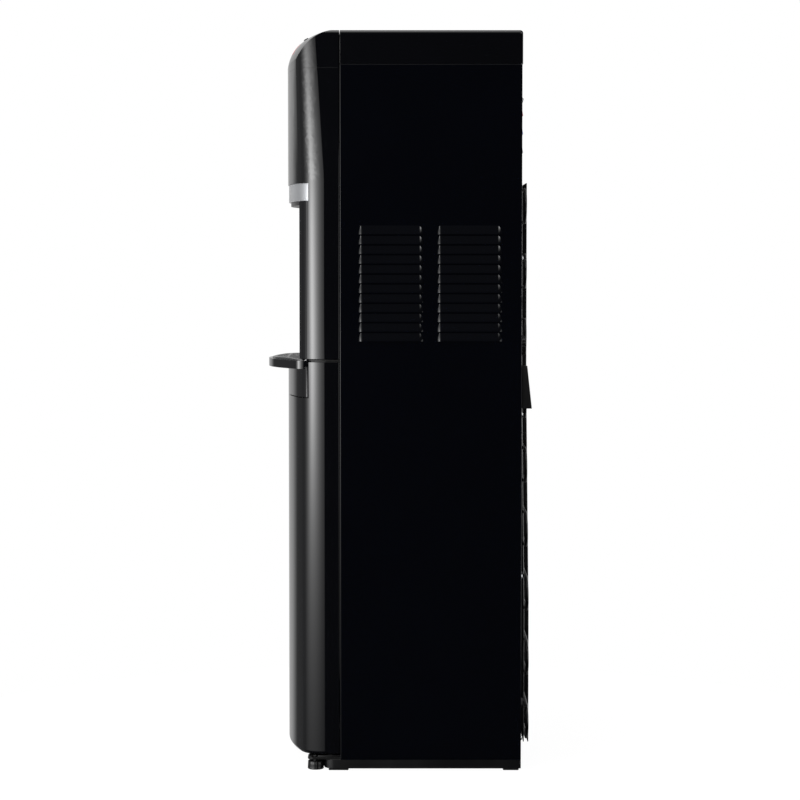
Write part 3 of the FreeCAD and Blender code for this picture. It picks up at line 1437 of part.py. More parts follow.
def rocker(z):
    """Rocker with a shallow V face; its rest pose is one of the two tilts."""
    x, rear = switch_x - switch_width / 2 + fit_gap, rocker_y - rocker_body
    end = switch_length / 2 - rocker_end_gap
    face = bezel_face_y + rocker_proud
    dip = math.tan(math.radians(rocker_tilt / 2)) * end
    points = [V(x, rear, z - end), V(x, face, z - end), V(x, face - dip, z), V(x, face, z + end),
              V(x, rear, z + end)]
    block = Part.Face(Part.makePolygon(points + [points[0]])).extrude(V(switch_width - 2 * fit_gap, 0, 0))
    block.rotate(V(switch_x, rocker_y, z), X_AXIS, rocker_tilt / 2)
    return block


def drain_pipe():
    front, rear = back_inner_y - drain_inner, rear_y + drain_proud
    outer = cylinder_y(drain_radius, fittings_x, drain_z, front, rear)
    flange = cylinder_y(drain_radius + drain_flange, fittings_x, drain_z, back_inner_y - drain_flange_height,
                        back_inner_y)
    bore = cylinder_y(drain_radius - drain_wall, fittings_x, drain_z, front + drain_proud, rear + 1)
    return outer.fuse(flange).cut(bore)


def drain_cap():
    y0 = rear_y - sheet + fit_gap
    y1 = y0 + drain_cap_height
    cap = cylinder_y(drain_cap_radius, fittings_x, drain_z, y0, y1)
    hollow = cylinder_y(drain_radius + pin_gap, fittings_x, drain_z, y0 - 1, rear_y + drain_proud + fit_gap)
    grips = [cylinder_y(drain_grip_radius, fittings_x + drain_cap_radius * math.cos(a),
                        drain_z + drain_cap_radius * math.sin(a), y0 - 1, y1 + 1)
             for a in (2 * math.pi * k / drain_cap_grips for k in range(drain_cap_grips))]
    return cap.cut(hollow).cut(group(grips))


def cord_inlet():
    front, panel_y = back_inner_y - inlet_body, rear_y - sheet
    flange = cylinder_y(inlet_radius, fittings_x, inlet_z, panel_y, panel_y + inlet_flange)
    body = cylinder_y(inlet_radius - inlet_groove, fittings_x, inlet_z, front, panel_y)
    bore = cylinder_y(inlet_bore, fittings_x, inlet_z, front - 1, panel_y + inlet_flange + 1)
    return flange.fuse(body).cut(bore)


# ---- output ----------------------------------------------------------------
def nodes():
    right_panel = side_panel()
    right_bracket = foot_bracket()
    pieces = {
        "plinth": plinth(),
        "foot_pads": foot_pads(),
        "left_levelling_foot": levelling_foot(-1),
        "right_levelling_foot": levelling_foot(1),
        "foot_brackets": group([right_bracket, mirrored(right_bracket)]),
        "front_frame": front_frame(),
        "right_side_panel": right_panel,
        "left_side_panel": mirrored(right_panel),
        "rear_panel": rear_panel(),
        "case_screws": group(rear_screws() + compressor_bolts()),
        "top_cover": top_cover(),
        "head_cap": head_cap(),
        "child_lock": child_lock(),
        "control_board": control_board(),
        "front_fascia": front_fascia(),
        "trim_band": trim_band(),
        "alcove_liner": alcove_liner(),
        "nozzle_plate": nozzle_cover(),
        "spouts": group([spout(x) for x in spout_xs()]),
        "solenoid_valves": group([solenoid_valve(x) for x in spout_xs()]),
        "alcove_lamp": alcove_lamp(),
        "door_skin": door_skin(),
        "door_liner": door_liner(),
        "hinge_bushes": group([lower_bush(), upper_bush()]),
        "hinge_pins": group(hinge_pins() + [upper_hinge_bracket()]),
        "door_magnets": group(door_magnets()),
        "catch_plates": group(catch_plates()),
        "drip_tray": drip_tray(),
        "drip_grille": drip_grille(),
        "bottle_floor": bottle_floor(),
        "mid_shelf": mid_shelf(),
        "probe_hanger": probe_hanger(),
        "bottle_probe": bottle_probe(),
        "compressor": compressor(),
        "compressor_grommets": group(compressor_grommets()),
        "relay_cover": relay_cover(),
        "water_pump": water_pump(),
        "refrigerant_lines": group([discharge_line(), suction_line(), capillary_tube(), filter_drier()]),
        "power_board": power_board(),
        "tank_deck": tank_deck(),
        "cold_tank": cold_tank(),
        "evaporator_coil": evaporator_coil(),
        "cold_foam": group([foam_half(-1), foam_half(1)]),
        "hot_tank": hot_tank(),
        "heater_band": heater_band(),
        "hot_jacket": hot_jacket(),
        "water_hoses": group(spout_hoses() + [tank_link(), tank_feed(), drain_hose(), probe_hose()]),
        "condenser": group([condenser_coil()] + condenser_wires()),
        "condenser_clips": group(condenser_clips()),
        "wall_spacers": group(wall_spacers()),
        "switch_bezel": switch_bezel(),
        "drain_pipe": drain_pipe(),
        "drain_cap": drain_cap(),
        "cord_inlet": cord_inlet(),
    }
    pieces.update({name: button(x) for name, x in button_spots()})
    pieces.update({name: rocker(z) for name, z in switch_spots()})
    return pieces


os.makedirs("parts", exist_ok=True)
for name, shape in nodes().items():
    shape.exportStep(os.path.join("parts", name + ".step"))
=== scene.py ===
"""Looks of a tall bottom-load water dispenser, built round its frame.

Sizes are in metres. The front faces -Y, the door's hinge side is +X and the
floor is at Z 0, as in the frame.
"""

import json
import logging
import math
from dataclasses import dataclass
from enum import Enum
from typing import Sequence, Union

import bmesh
import bpy
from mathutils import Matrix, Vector


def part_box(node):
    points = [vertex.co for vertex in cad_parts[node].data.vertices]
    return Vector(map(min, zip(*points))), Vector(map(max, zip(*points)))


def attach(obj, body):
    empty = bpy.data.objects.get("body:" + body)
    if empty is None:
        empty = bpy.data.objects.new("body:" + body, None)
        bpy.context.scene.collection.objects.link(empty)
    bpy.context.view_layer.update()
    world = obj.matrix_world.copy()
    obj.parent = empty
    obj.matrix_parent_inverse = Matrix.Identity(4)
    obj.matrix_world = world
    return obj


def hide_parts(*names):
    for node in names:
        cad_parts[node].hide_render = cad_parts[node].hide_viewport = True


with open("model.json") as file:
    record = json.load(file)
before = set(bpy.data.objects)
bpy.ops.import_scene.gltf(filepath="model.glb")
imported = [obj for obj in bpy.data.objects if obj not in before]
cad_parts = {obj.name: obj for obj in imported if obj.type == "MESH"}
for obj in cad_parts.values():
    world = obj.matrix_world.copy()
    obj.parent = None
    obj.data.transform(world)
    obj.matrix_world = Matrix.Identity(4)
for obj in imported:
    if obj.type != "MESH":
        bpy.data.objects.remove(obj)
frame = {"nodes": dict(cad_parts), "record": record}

LOG = logging.getLogger("dispenser")
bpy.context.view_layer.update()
WELD = 1e-6         # points nearer than this are one point
ON_FACE = 0.0001    # points nearer to a box's side than this lie on it
FLAT_ANGLE = 0.05   # degrees; faces that meet at less than this are one face
CRISP_ANGLE = 35.0  # degrees; edges sharper than this stay crisp

Colour = tuple[float, float, float]
Place = tuple[float, float, float]
Socket = bpy.types.NodeSocket
Input = Union[float, int, bool, Sequence[float], Socket]
Inputs = dict[Union[str, int], Input]


# ---- node trees ------------------------------------------------------------
class Graph:
    """Adds nodes to one node tree and links them.

    Attributes:
        COLOUR_A: number of a Mix node's first colour input.
        COLOUR_B: number of its second colour input.
        COLOUR_OUT: number of its colour output.
    """

    COLOUR_A = 6
    COLOUR_B = 7
    COLOUR_OUT = 2

    def __init__(self, tree: bpy.types.NodeTree) -> None:
        """Takes the tree that the nodes go into."""
        self.tree = tree

    def add(self, kind: str, inputs: Inputs | None = None, **settings: object) -> bpy.types.Node:
        """Adds a node.

        Args:
            kind: the node's type name.
            inputs: a value or a socket to link, by input name or number.
            settings: properties of the node itself.

        Returns:
            The new node.
        """
        node = self.tree.nodes.new(kind)
        for name, value in settings.items():
            setattr(node, name, value)
        for key, value in (inputs or {}).items():
            self.feed(node.inputs[key], value)
        return node

    def feed(self, entry: Socket, value: Input) -> None:
        """Links a socket into an input, or sets the input to a plain value.

        Args:
            entry: the input.
            value: what goes into it.
        """
        if isinstance(value, Socket):
            self.tree.links.new(value, entry)
        else:
            entry.default_value = value

    def maths(self, operation: str, *values: Input) -> Socket:
        """Adds a Math node and returns its result."""
        return self.add("ShaderNodeMath", dict(enumerate(values)), operation=operation).outputs[0]

    def times(self, first: Input, second: Input) -> Socket:
        """Returns the product of two values."""
        return self.maths("MULTIPLY", first, second)

    def plus(self, first: Input, second: Input) -> Socket:
        """Returns the sum of two values."""
        return self.maths("ADD", first, second)

    def less(self, first: Input, second: Input) -> Socket:
        """Returns the first value less the second."""
        return self.maths("SUBTRACT", first, second)

    def greater(self, first: Input, second: Input) -> Socket:
        """Returns the greater of two values."""
        return self.maths("MAXIMUM", first, second)

    def power(self, base: Input, exponent: Input) -> Socket:
        """Returns one value to the power of another."""
        return self.maths("POWER", base, exponent)

    def ranged(self, value: Input, low: float, high: float, to_low: Input, to_high: Input) -> Socket:
        """Maps a value from one range to another and returns the result."""
        inputs = {"Value": value, "From Min": low, "From Max": high, "To Min": to_low, "To Max": to_high}
        return self.add("ShaderNodeMapRange", inputs).outputs[0]

    def mixed(self, factor: Input, first: Input, second: Input) -> Socket:
        """Blends two colours and returns the result."""
        inputs = {"Factor": factor, self.COLOUR_A: first, self.COLOUR_B: second}
        return self.add("ShaderNodeMix", inputs, data_type="RGBA").outputs[self.COLOUR_OUT]


def emptied(owner: Union[bpy.types.Material, bpy.types.World, bpy.types.Light]) -> Graph:
    """Gives a material, a world or a light an empty node tree.

    Args:
        owner: what the nodes belong to.

    Returns:
        The tree, ready for nodes.
    """
    owner.use_nodes = True
    owner.node_tree.nodes.clear()
    return Graph(owner.node_tree)


class Texture(Enum):
    """Surface texture that a finish carries."""

    MOULDED = "fine grain of moulded plastic"
    PEEL = "orange peel of baked enamel"
    BRUSHED = "brush lines along one axis"
    SPANGLE = "crystals of zinc plating"
    CELLS = "foam cells"
    FELT = "matted fibres"
    TRACES = "printed tracks"


NOISE_DETAIL = {Texture.BRUSHED: 4.0, Texture.FELT: 6.0, Texture.PEEL: 1.5, Texture.MOULDED: 5.0}
PATCH_SIZE = 0.09                     # soft patches in the colour and the roughness
PATCH_DETAIL = 3.0
PATCH_RANGE = (0.3, 0.7)              # values of a noise that cover most of it
COAT_ROUGHNESS = 0.06
DUST_COLOUR = (0.42, 0.41, 0.39, 1.0)
DUST_SLOPE = (0.6, 1.0)               # Z of a normal where dust starts to lie and lies fully
DUST_SPECKS = (0.3, 0.8, 0.3, 1.0)    # the texture's tint, and how much dust it holds there
SCRATCH_SIZE = 0.0016                 # width of the scratches that wiping leaves
SCRATCH_RANGE = (0.58, 0.78)          # values of the noise that make a scratch
SCRATCH_SHARE = 0.7                   # a scratch's roughness, as a share of the finish's own spread
SCRATCH_STRETCH = (1.0, 0.35, 0.05)   # scale along X, Y and Z, so lines run along the smallest
BRUSH_STRETCH = (1.0, 1.0, 0.04)
FIBRE_STRETCHES = ((1.0, 0.2, 1.0), (0.25, 1.0, 0.6))
TRACK_WIDTH = 0.03                    # as a share of the tracks' spacing


@dataclass(frozen=True)
class Finish:
    """One finish of the dispenser and the material that shows it.

    Attributes:
        name: material name.
        colour: plain colour of the surface.
        rough: lowest and highest roughness.
        texture: kind of surface texture.
        grain: size of the texture, in metres.
        relief: height of the texture, in metres.
        tint: how far the colour varies, as a share.
        dust: how much settles on surfaces that face up.
        metallic: 1 for bare metal.
        coat: strength of a clear coat.
        see_through: share of light let through.
        specular: strength of the mirror reflection.
    """

    name: str
    colour: Colour
    rough: tuple[float, float]
    texture: Texture = Texture.MOULDED
    grain: float = 0.0012
    relief: float = 0.00002
    tint: float = 0.12
    dust: float = 0.02
    metallic: float = 0.0
    coat: float = 0.0
    see_through: float = 0.0
    specular: float = 0.5

    def material(self) -> bpy.types.Material:
        """Finds the material, or makes it the first time it is asked for.

        Returns:
            The material.
        """
        found = bpy.data.materials.get(self.name)
        if found:
            return found
        material = bpy.data.materials.new(self.name)
        graph = emptied(material)
        place = graph.add("ShaderNodeTexCoord").outputs["Object"]
        height, speck = self.relief_nodes(graph, place)
        cloud = self.noise(graph, place, PATCH_SIZE, PATCH_DETAIL)
        bump = graph.add("ShaderNodeBump", {"Height": height, "Strength": 1.0, "Distance": self.relief})
        shader = graph.add("ShaderNodeBsdfPrincipled", {
            "Base Color": self.colour_nodes(graph, cloud, speck),
            "Roughness": self.rough_nodes(graph, place, cloud),
            "Normal": bump.outputs["Normal"],
            "Metallic": self.metallic,
            "Coat Weight": self.coat,
            "Coat Roughness": COAT_ROUGHNESS,
            "Transmission Weight": self.see_through,
            "Specular IOR Level": self.specular,
        })
        graph.add("ShaderNodeOutputMaterial", {"Surface": shader.outputs["BSDF"]})
        material.diffuse_color = (*self.colour, 1.0)
        return material

    def noise(self, graph: Graph, place: Input, size: float, detail: float) -> Socket:
        """Returns a noise with lumps of a size in metres."""
        inputs = {"Vector": place, "Scale": 1 / size, "Detail": detail}
        return graph.add("ShaderNodeTexNoise", inputs).outputs["Fac"]

    def stretched(self, graph: Graph, place: Input, scale: Sequence[float]) -> Socket:
        """Returns the place, scaled by a different share along each axis."""
        return graph.add("ShaderNodeMapping", {"Vector": place, "Scale": scale}).outputs[0]

    def relief_nodes(self, graph: Graph, place: Input) -> tuple[Socket, Socket]:
        """Adds the texture that the finish carries.

        Args:
            graph: the material's nodes.
            place: coordinates on the object.

        Returns:
            The texture's height, and a value from 0 to 1 that tints the colour.
        """
        detail = NOISE_DETAIL.get(self.texture, 0.0)
        if self.texture is Texture.BRUSHED:
            lines = self.noise(graph, self.stretched(graph, place, BRUSH_STRETCH), self.grain, detail)
            return lines, lines
        if self.texture in (Texture.SPANGLE, Texture.CELLS):
            cells = graph.add("ShaderNodeTexVoronoi", {"Vector": place, "Scale": 1 / self.grain})
            speck = graph.add("ShaderNodeSeparateColor", {0: cells.outputs["Color"]}).outputs[0]
            height = speck if self.texture is Texture.SPANGLE else cells.outputs["Distance"]
            return height, speck
        if self.texture is Texture.FELT:
            fibres, across = (self.noise(graph, self.stretched(graph, place, way), self.grain, detail)
                              for way in FIBRE_STRETCHES)
            mat = graph.greater(fibres, across)
            return mat, mat
        if self.texture is Texture.TRACES:
            inputs = {"Vector": place, "Scale": 1 / self.grain, "Mortar Size": TRACK_WIDTH,
                      "Color1": (0, 0, 0, 1), "Color2": (0.1, 0.1, 0.1, 1), "Mortar": (1, 1, 1, 1)}
            tracks = graph.add("ShaderNodeTexBrick", inputs).outputs["Color"]
            value = graph.add("ShaderNodeSeparateColor", {0: tracks}).outputs[0]
            return value, value
        fine = self.noise(graph, place, self.grain, detail)
        return fine, fine

    def colour_nodes(self, graph: Graph, cloud: Input, speck: Input) -> Socket:
        """Adds the colour: its variation, and dust on what faces up.

        Args:
            graph: the material's nodes.
            cloud: soft patches, from 0 to 1.
            speck: the texture's own tint, from 0 to 1.

        Returns:
            The colour.
        """
        dark = (*(c * (1 - self.tint) for c in self.colour), 1.0)
        light = (*(min(1.0, c * (1 + self.tint)) for c in self.colour), 1.0)
        vary = graph.maths("MULTIPLY_ADD", graph.plus(cloud, speck), 0.5, 0.0)
        colour = graph.mixed(graph.ranged(vary, *PATCH_RANGE, 0.0, 1.0), dark, light)
        normal = graph.add("ShaderNodeNewGeometry").outputs["Normal"]
        up = graph.add("ShaderNodeSeparateXYZ", {0: normal}).outputs["Z"]
        level = graph.ranged(up, *DUST_SLOPE, 0.0, self.dust)
        settled = graph.times(level, graph.ranged(speck, *DUST_SPECKS))
        return graph.mixed(settled, colour, DUST_COLOUR)

    def rough_nodes(self, graph: Graph, place: Input, cloud: Input) -> Socket:
        """Adds the roughness: smears, and fine scratches from wiping.

        Args:
            graph: the material's nodes.
            place: coordinates on the object.
            cloud: soft patches, from 0 to 1.

        Returns:
            The roughness.
        """
        low, high = self.rough
        scratch = self.noise(graph, self.stretched(graph, place, SCRATCH_STRETCH), SCRATCH_SIZE, PATCH_DETAIL)
        marks = graph.ranged(scratch, *SCRATCH_RANGE, 0.0, (high - low) * SCRATCH_SHARE)
        return graph.plus(graph.ranged(cloud, *PATCH_RANGE, low, high), marks)


GLOSS = Finish("black gloss moulding", (0.0011, 0.0012, 0.0018), (0.035, 0.07),
               grain=0.0022, relief=0.0000012, dust=0.006)
SATIN = Finish("black satin moulding", (0.001, 0.001, 0.0013), (0.26, 0.36), grain=0.0006, relief=0.000015)
ENAMEL = Finish("black baked enamel", (0.0003, 0.0005, 0.0014), (0.04, 0.08),
                Texture.PEEL, 0.0035, 0.0000012, dust=0.004)
SILVER = Finish("silver lacquer", (0.5, 0.51, 0.53), (0.34, 0.42),
                grain=0.0004, relief=0.000002, metallic=0.7, coat=0.4)
DARK_STEEL = Finish("dark painted steel", (0.0008, 0.0008, 0.001), (0.24, 0.34), Texture.PEEL, 0.002, 0.00001)
ZINC = Finish("zinc plated steel", (0.5, 0.51, 0.52), (0.3, 0.45),
              Texture.SPANGLE, 0.009, 0.000008, 0.18, metallic=1.0)
STAINLESS = Finish("brushed stainless steel", (0.55, 0.54, 0.52), (0.22, 0.34),
                   Texture.BRUSHED, 0.0006, 0.00001, metallic=1.0)
WHITE = Finish("white moulded plastic", (0.68, 0.68, 0.65), (0.32, 0.45), grain=0.0008)
GREY = Finish("grey moulded plastic", (0.12, 0.12, 0.125), (0.35, 0.5), grain=0.0008)
LENS = Finish("clear lamp lens", (0.85, 0.87, 0.9), (0.04, 0.1), see_through=0.9, relief=0.00001)
RUBBER = Finish("black rubber", (0.002, 0.002, 0.002), (0.5, 0.7), grain=0.0007, relief=0.00003)
SILICONE = Finish("milky silicone hose", (0.62, 0.65, 0.65), (0.25, 0.4), see_through=0.35, grain=0.002)
COPPER = Finish("bright copper", (0.72, 0.36, 0.2), (0.18, 0.32),
                Texture.BRUSHED, 0.0012, 0.000006, 0.2, metallic=1.0)
FOAM = Finish("moulded foam", (0.8, 0.77, 0.68), (0.8, 0.95), Texture.CELLS, 0.0035, 0.00025)
WOOL = Finish("felt jacket", (0.7, 0.67, 0.6), (0.9, 1.0), Texture.FELT, 0.0016, 0.0004, 0.25)
BOARD = Finish("printed board", (0.02, 0.13, 0.05), (0.3, 0.45), Texture.TRACES, 0.009, 0.00004, 0.5, coat=0.3)
MAGNET = Finish("ceramic magnet", (0.05, 0.05, 0.052), (0.5, 0.7), grain=0.0009, relief=0.00004)
BLUE = Finish("blue gloss button", (0.01, 0.06, 0.4), (0.06, 0.14), relief=0.000004)
ICE = Finish("white gloss button", (0.7, 0.71, 0.73), (0.06, 0.14), relief=0.000004)
RED = Finish("red gloss button", (0.45, 0.01, 0.01), (0.06, 0.14), relief=0.000004)
GRILLE = Finish("grey gloss grille", (0.035, 0.036, 0.038), (0.16, 0.26), grain=0.0015, relief=0.000005)

SLOTS = {
    "black_gloss": GLOSS, "black_satin": SATIN, "black_enamel": ENAMEL, "silver_trim": SILVER,
    "dark_steel": DARK_STEEL, "zinc_steel": ZINC, "stainless": STAINLESS, "white_plastic": WHITE,
    "grey_plastic": GREY, "clear_lens": LENS, "rubber_black": RUBBER, "silicone": SILICONE,
    "copper": COPPER, "foam": FOAM, "wool_jacket": WOOL, "board_green": BOARD,
    "ceramic_magnet": MAGNET, "button_blue": BLUE, "button_white": ICE, "button_red": RED,
    "grille_grey": GRILLE,
}


# ---- pieces ----------------------------------------------------------------
def slot_of(node: str) -> str:
    """Returns the material slot that the record gives a node."""
    return next(part["material_slot"] for part in frame["record"]["subparts"] if part["node"] == node)


def body_of(node: str) -> str:
    """Returns the body that a node rides on."""
    bodies = frame["record"]["behaviour"]["bodies"]
    return next(name for name, members in bodies.items() if node in members)


def dress(node: str) -> None:
    """Gives a frame node the finish of its slot.

    Args:
        node: the node's name.
    """
    mesh = frame["nodes"][node].data
    finish = SLOTS[slot_of(node)].material()
    if not mesh.materials:
        mesh.materials.append(finish)
    for index in range(len(mesh.materials)):
        mesh.materials[index] = finish
    LOG.info("%s wears %s", node, finish.name)


def new_piece(name: str, build: bmesh.types.BMesh) -> bpy.types.Object:
    """Puts built faces and edges into a new object in the scene.

    Args:
        name: the object's name.
        build: its faces and edges, freed afterwards.

    Returns:
        The object.
    """
    mesh = bpy.data.meshes.new(name)
    build.to_mesh(mesh)
    build.free()
    piece = bpy.data.objects.new(name, mesh)
    bpy.context.scene.collection.objects.link(piece)
    return piece


def shade(piece: bpy.types.Object, crisp: float = CRISP_ANGLE) -> None:
    """Shades a piece smooth, but for edges sharper than an angle in degrees."""
    piece.data.shade_smooth()
    piece.data.set_sharp_from_angle(angle=math.radians(crisp))


def bake(piece: bpy.types.Object) -> bpy.types.Object:
    """Turns a piece's modifiers into plain mesh.

    Args:
        piece: the object that carries the modifiers.

    Returns:
        The same object, with plain mesh.
    """
    view = bpy.context.evaluated_depsgraph_get()
    final = piece.evaluated_get(view)
    piece.data = bpy.data.meshes.new_from_object(final, preserve_all_data_layers=True, depsgraph=view)
    piece.modifiers.clear()
    return piece


def faced_outward(piece: bpy.types.Object) -> bpy.types.Object:
    """Turns every face of a piece outwards.

    Args:
        piece: the object with plain mesh.

    Returns:
        The same object.
    """
    build = bmesh.new()
    build.from_mesh(piece.data)
    bmesh.ops.recalc_face_normals(build, faces=build.faces)
    build.to_mesh(piece.data)
    build.free()
    return piece


def placed(piece: bpy.types.Object, body: str, slot: str) -> bpy.types.Object:
    """Gives a piece its finish, body and slot, and reports it.

    Args:
        piece: the object with plain mesh.
        body: the body that it rides on.
        slot: its material slot.

    Returns:
        The same object.
    """
    faces = piece.data.polygons
    piece.data.materials.clear()
    piece.data.materials.append(SLOTS[slot].material())
    faces.foreach_set("material_index", [0] * len(faces))
    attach(piece, body)
    LOG.info("%s: %d faces in %s, on %s", piece.name, len(faces), slot, body)
    return piece


def finished(piece: bpy.types.Object, *nodes: str, slot: str = "") -> bpy.types.Object:
    """Gives a piece the finish, body and slot of the nodes that it stands for.

    Args:
        piece: the object with plain mesh.
        nodes: the frame nodes that it replaces.
        slot: a material slot of its own, or the first node's.

    Returns:
        The same object.
    """
    placed(piece, body_of(nodes[0]), slot or slot_of(nodes[0]))
    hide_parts(*nodes)
    return piece


@dataclass
class Moulding:
    """A frame node's shape with its edges rounded as a mould or press leaves them.

    Attributes:
        node: the frame node that it stands for.
        edge: radius of the rounded edges.
        segments: facets across a rounded edge.
        crisp: edges flatter than this angle, in degrees, belong to a curved face.
        slot: a material slot of its own, or the node's.
    """

    node: str
    edge: float = 0.0005
    segments: int = 2
    crisp: float = 32.0
    slot: str = ""

    def reshape(self, build: bmesh.types.BMesh) -> None:
        """Changes the shape before its edges are rounded; a plain moulding keeps the node's."""

    def build(self) -> bpy.types.Object:
        """Builds the piece, riding on its node's body.

        Returns:
            The piece.
        """
        build = bmesh.new()
        build.from_mesh(frame["nodes"][self.node].data)
        bmesh.ops.remove_doubles(build, verts=build.verts, dist=WELD)
        flat = math.radians(FLAT_ANGLE)
        bmesh.ops.dissolve_limit(build, angle_limit=flat, verts=build.verts, edges=build.edges)
        self.reshape(build)
        piece = new_piece(self.node + "_moulding", build)
        bevel = piece.modifiers.new("edges", "BEVEL")
        bevel.width, bevel.segments, bevel.limit_method = self.edge, self.segments, "ANGLE"
        bevel.angle_limit = math.radians(self.crisp)
        weighted = piece.modifiers.new("shading", "WEIGHTED_NORMAL")
        weighted.mode, weighted.weight, weighted.keep_sharp = "FACE_AREA", 100, True
        shade(piece, self.crisp)
        return finished(bake(piece), self.node, slot=self.slot)


@dataclass
class Plinth(Moulding):
    """Plinth whose front stands just behind the feet.

    Attributes:
        node: the frame node that it stands for.
        edge: radius of the rounded edges.
        forward: how far its front is moved forwards.
        depth: how much of it, from the front, is moved.
    """

    node: str = "plinth"
    edge: float = 0.0006
    forward: float = 0.0034
    depth: float = 0.03

    def reshape(self, build: bmesh.types.BMesh) -> None:
        """Moves the front face and its corners forwards.

        Args:
            build: the piece's mesh.
        """
        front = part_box(self.node)[0][1] + self.depth
        for vert in (v.co for v in build.verts):
            vert.y -= self.forward if vert.y < front else 0.0


@dataclass
class NozzleCover(Moulding):
    """Cover under the trim band, its front set back from the band.

    Attributes:
        node: the frame node that it stands for.
        edge: radius of the rounded edges.
        set_back: how far its front stands behind the node's.
        depth: how much of it, from the front, is moved.
    """

    node: str = "nozzle_plate"
    edge: float = 0.0006
    set_back: float = 0.002
    depth: float = 0.04

    def reshape(self, build: bmesh.types.BMesh) -> None:
        """Moves the front backwards.

        Args:
            build: the piece's mesh.
        """
        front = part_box(self.node)[0][1] + self.depth
        for vert in (v.co for v in build.verts):
            vert.y += self.set_back if vert.y < front else 0.0


@dataclass
class TrayApron(Moulding):
    """Drip tray whose apron stands clear of the door at its ends and along its bottom.

    Attributes:
        node: the frame node that it stands for.
        end_gap: how much shorter the apron is at each end.
        bottom_gap: how much shorter it is at its bottom.
    """

    node: str = "drip_tray"
    end_gap: float = 0.0014
    bottom_gap: float = 0.0008

    def reshape(self, build: bmesh.types.BMesh) -> None:
        """Draws the apron's ends and bottom inwards.

        Args:
            build: the piece's mesh.
        """
        low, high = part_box(self.node)
        for vert in (v.co for v in build.verts):
            if abs(vert.x) > high[0] - ON_FACE:
                vert.x -= math.copysign(self.end_gap, vert.x)
                vert.y -= self.end_gap
            if vert.z < low[2] + ON_FACE:
                vert.z += self.bottom_gap


@dataclass
class CrownedGrille(Moulding):
    """Drip grille pressed into a shallow crown.

    Attributes:
        node: the frame node that it stands for.
        crown: rise of its middle over its ends.
        reach: share of the crown that is left at its front tip.
        climb: share of its depth over which the crown rises.
        fullness: how far the crown keeps its height towards the ends.
    """

    node: str = "drip_grille"
    crown: float = 0.0045
    reach: float = 0.3
    climb: float = 0.8
    fullness: int = 4

    def reshape(self, build: bmesh.types.BMesh) -> None:
        """Lifts the middle.

        Args:
            build: the piece's mesh.
        """
        low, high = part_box(self.node)
        bmesh.ops.triangulate(build, faces=build.faces)
        for vert in (v.co for v in build.verts):
            across = 1 - (vert.x / high[0]) ** self.fullness
            back = min(1.0, (vert.y - low[1]) / ((high[1] - low[1]) * self.climb))
            vert.z += self.crown * across * (self.reach + (1 - self.reach) * math.sin(math.pi / 2 * back))


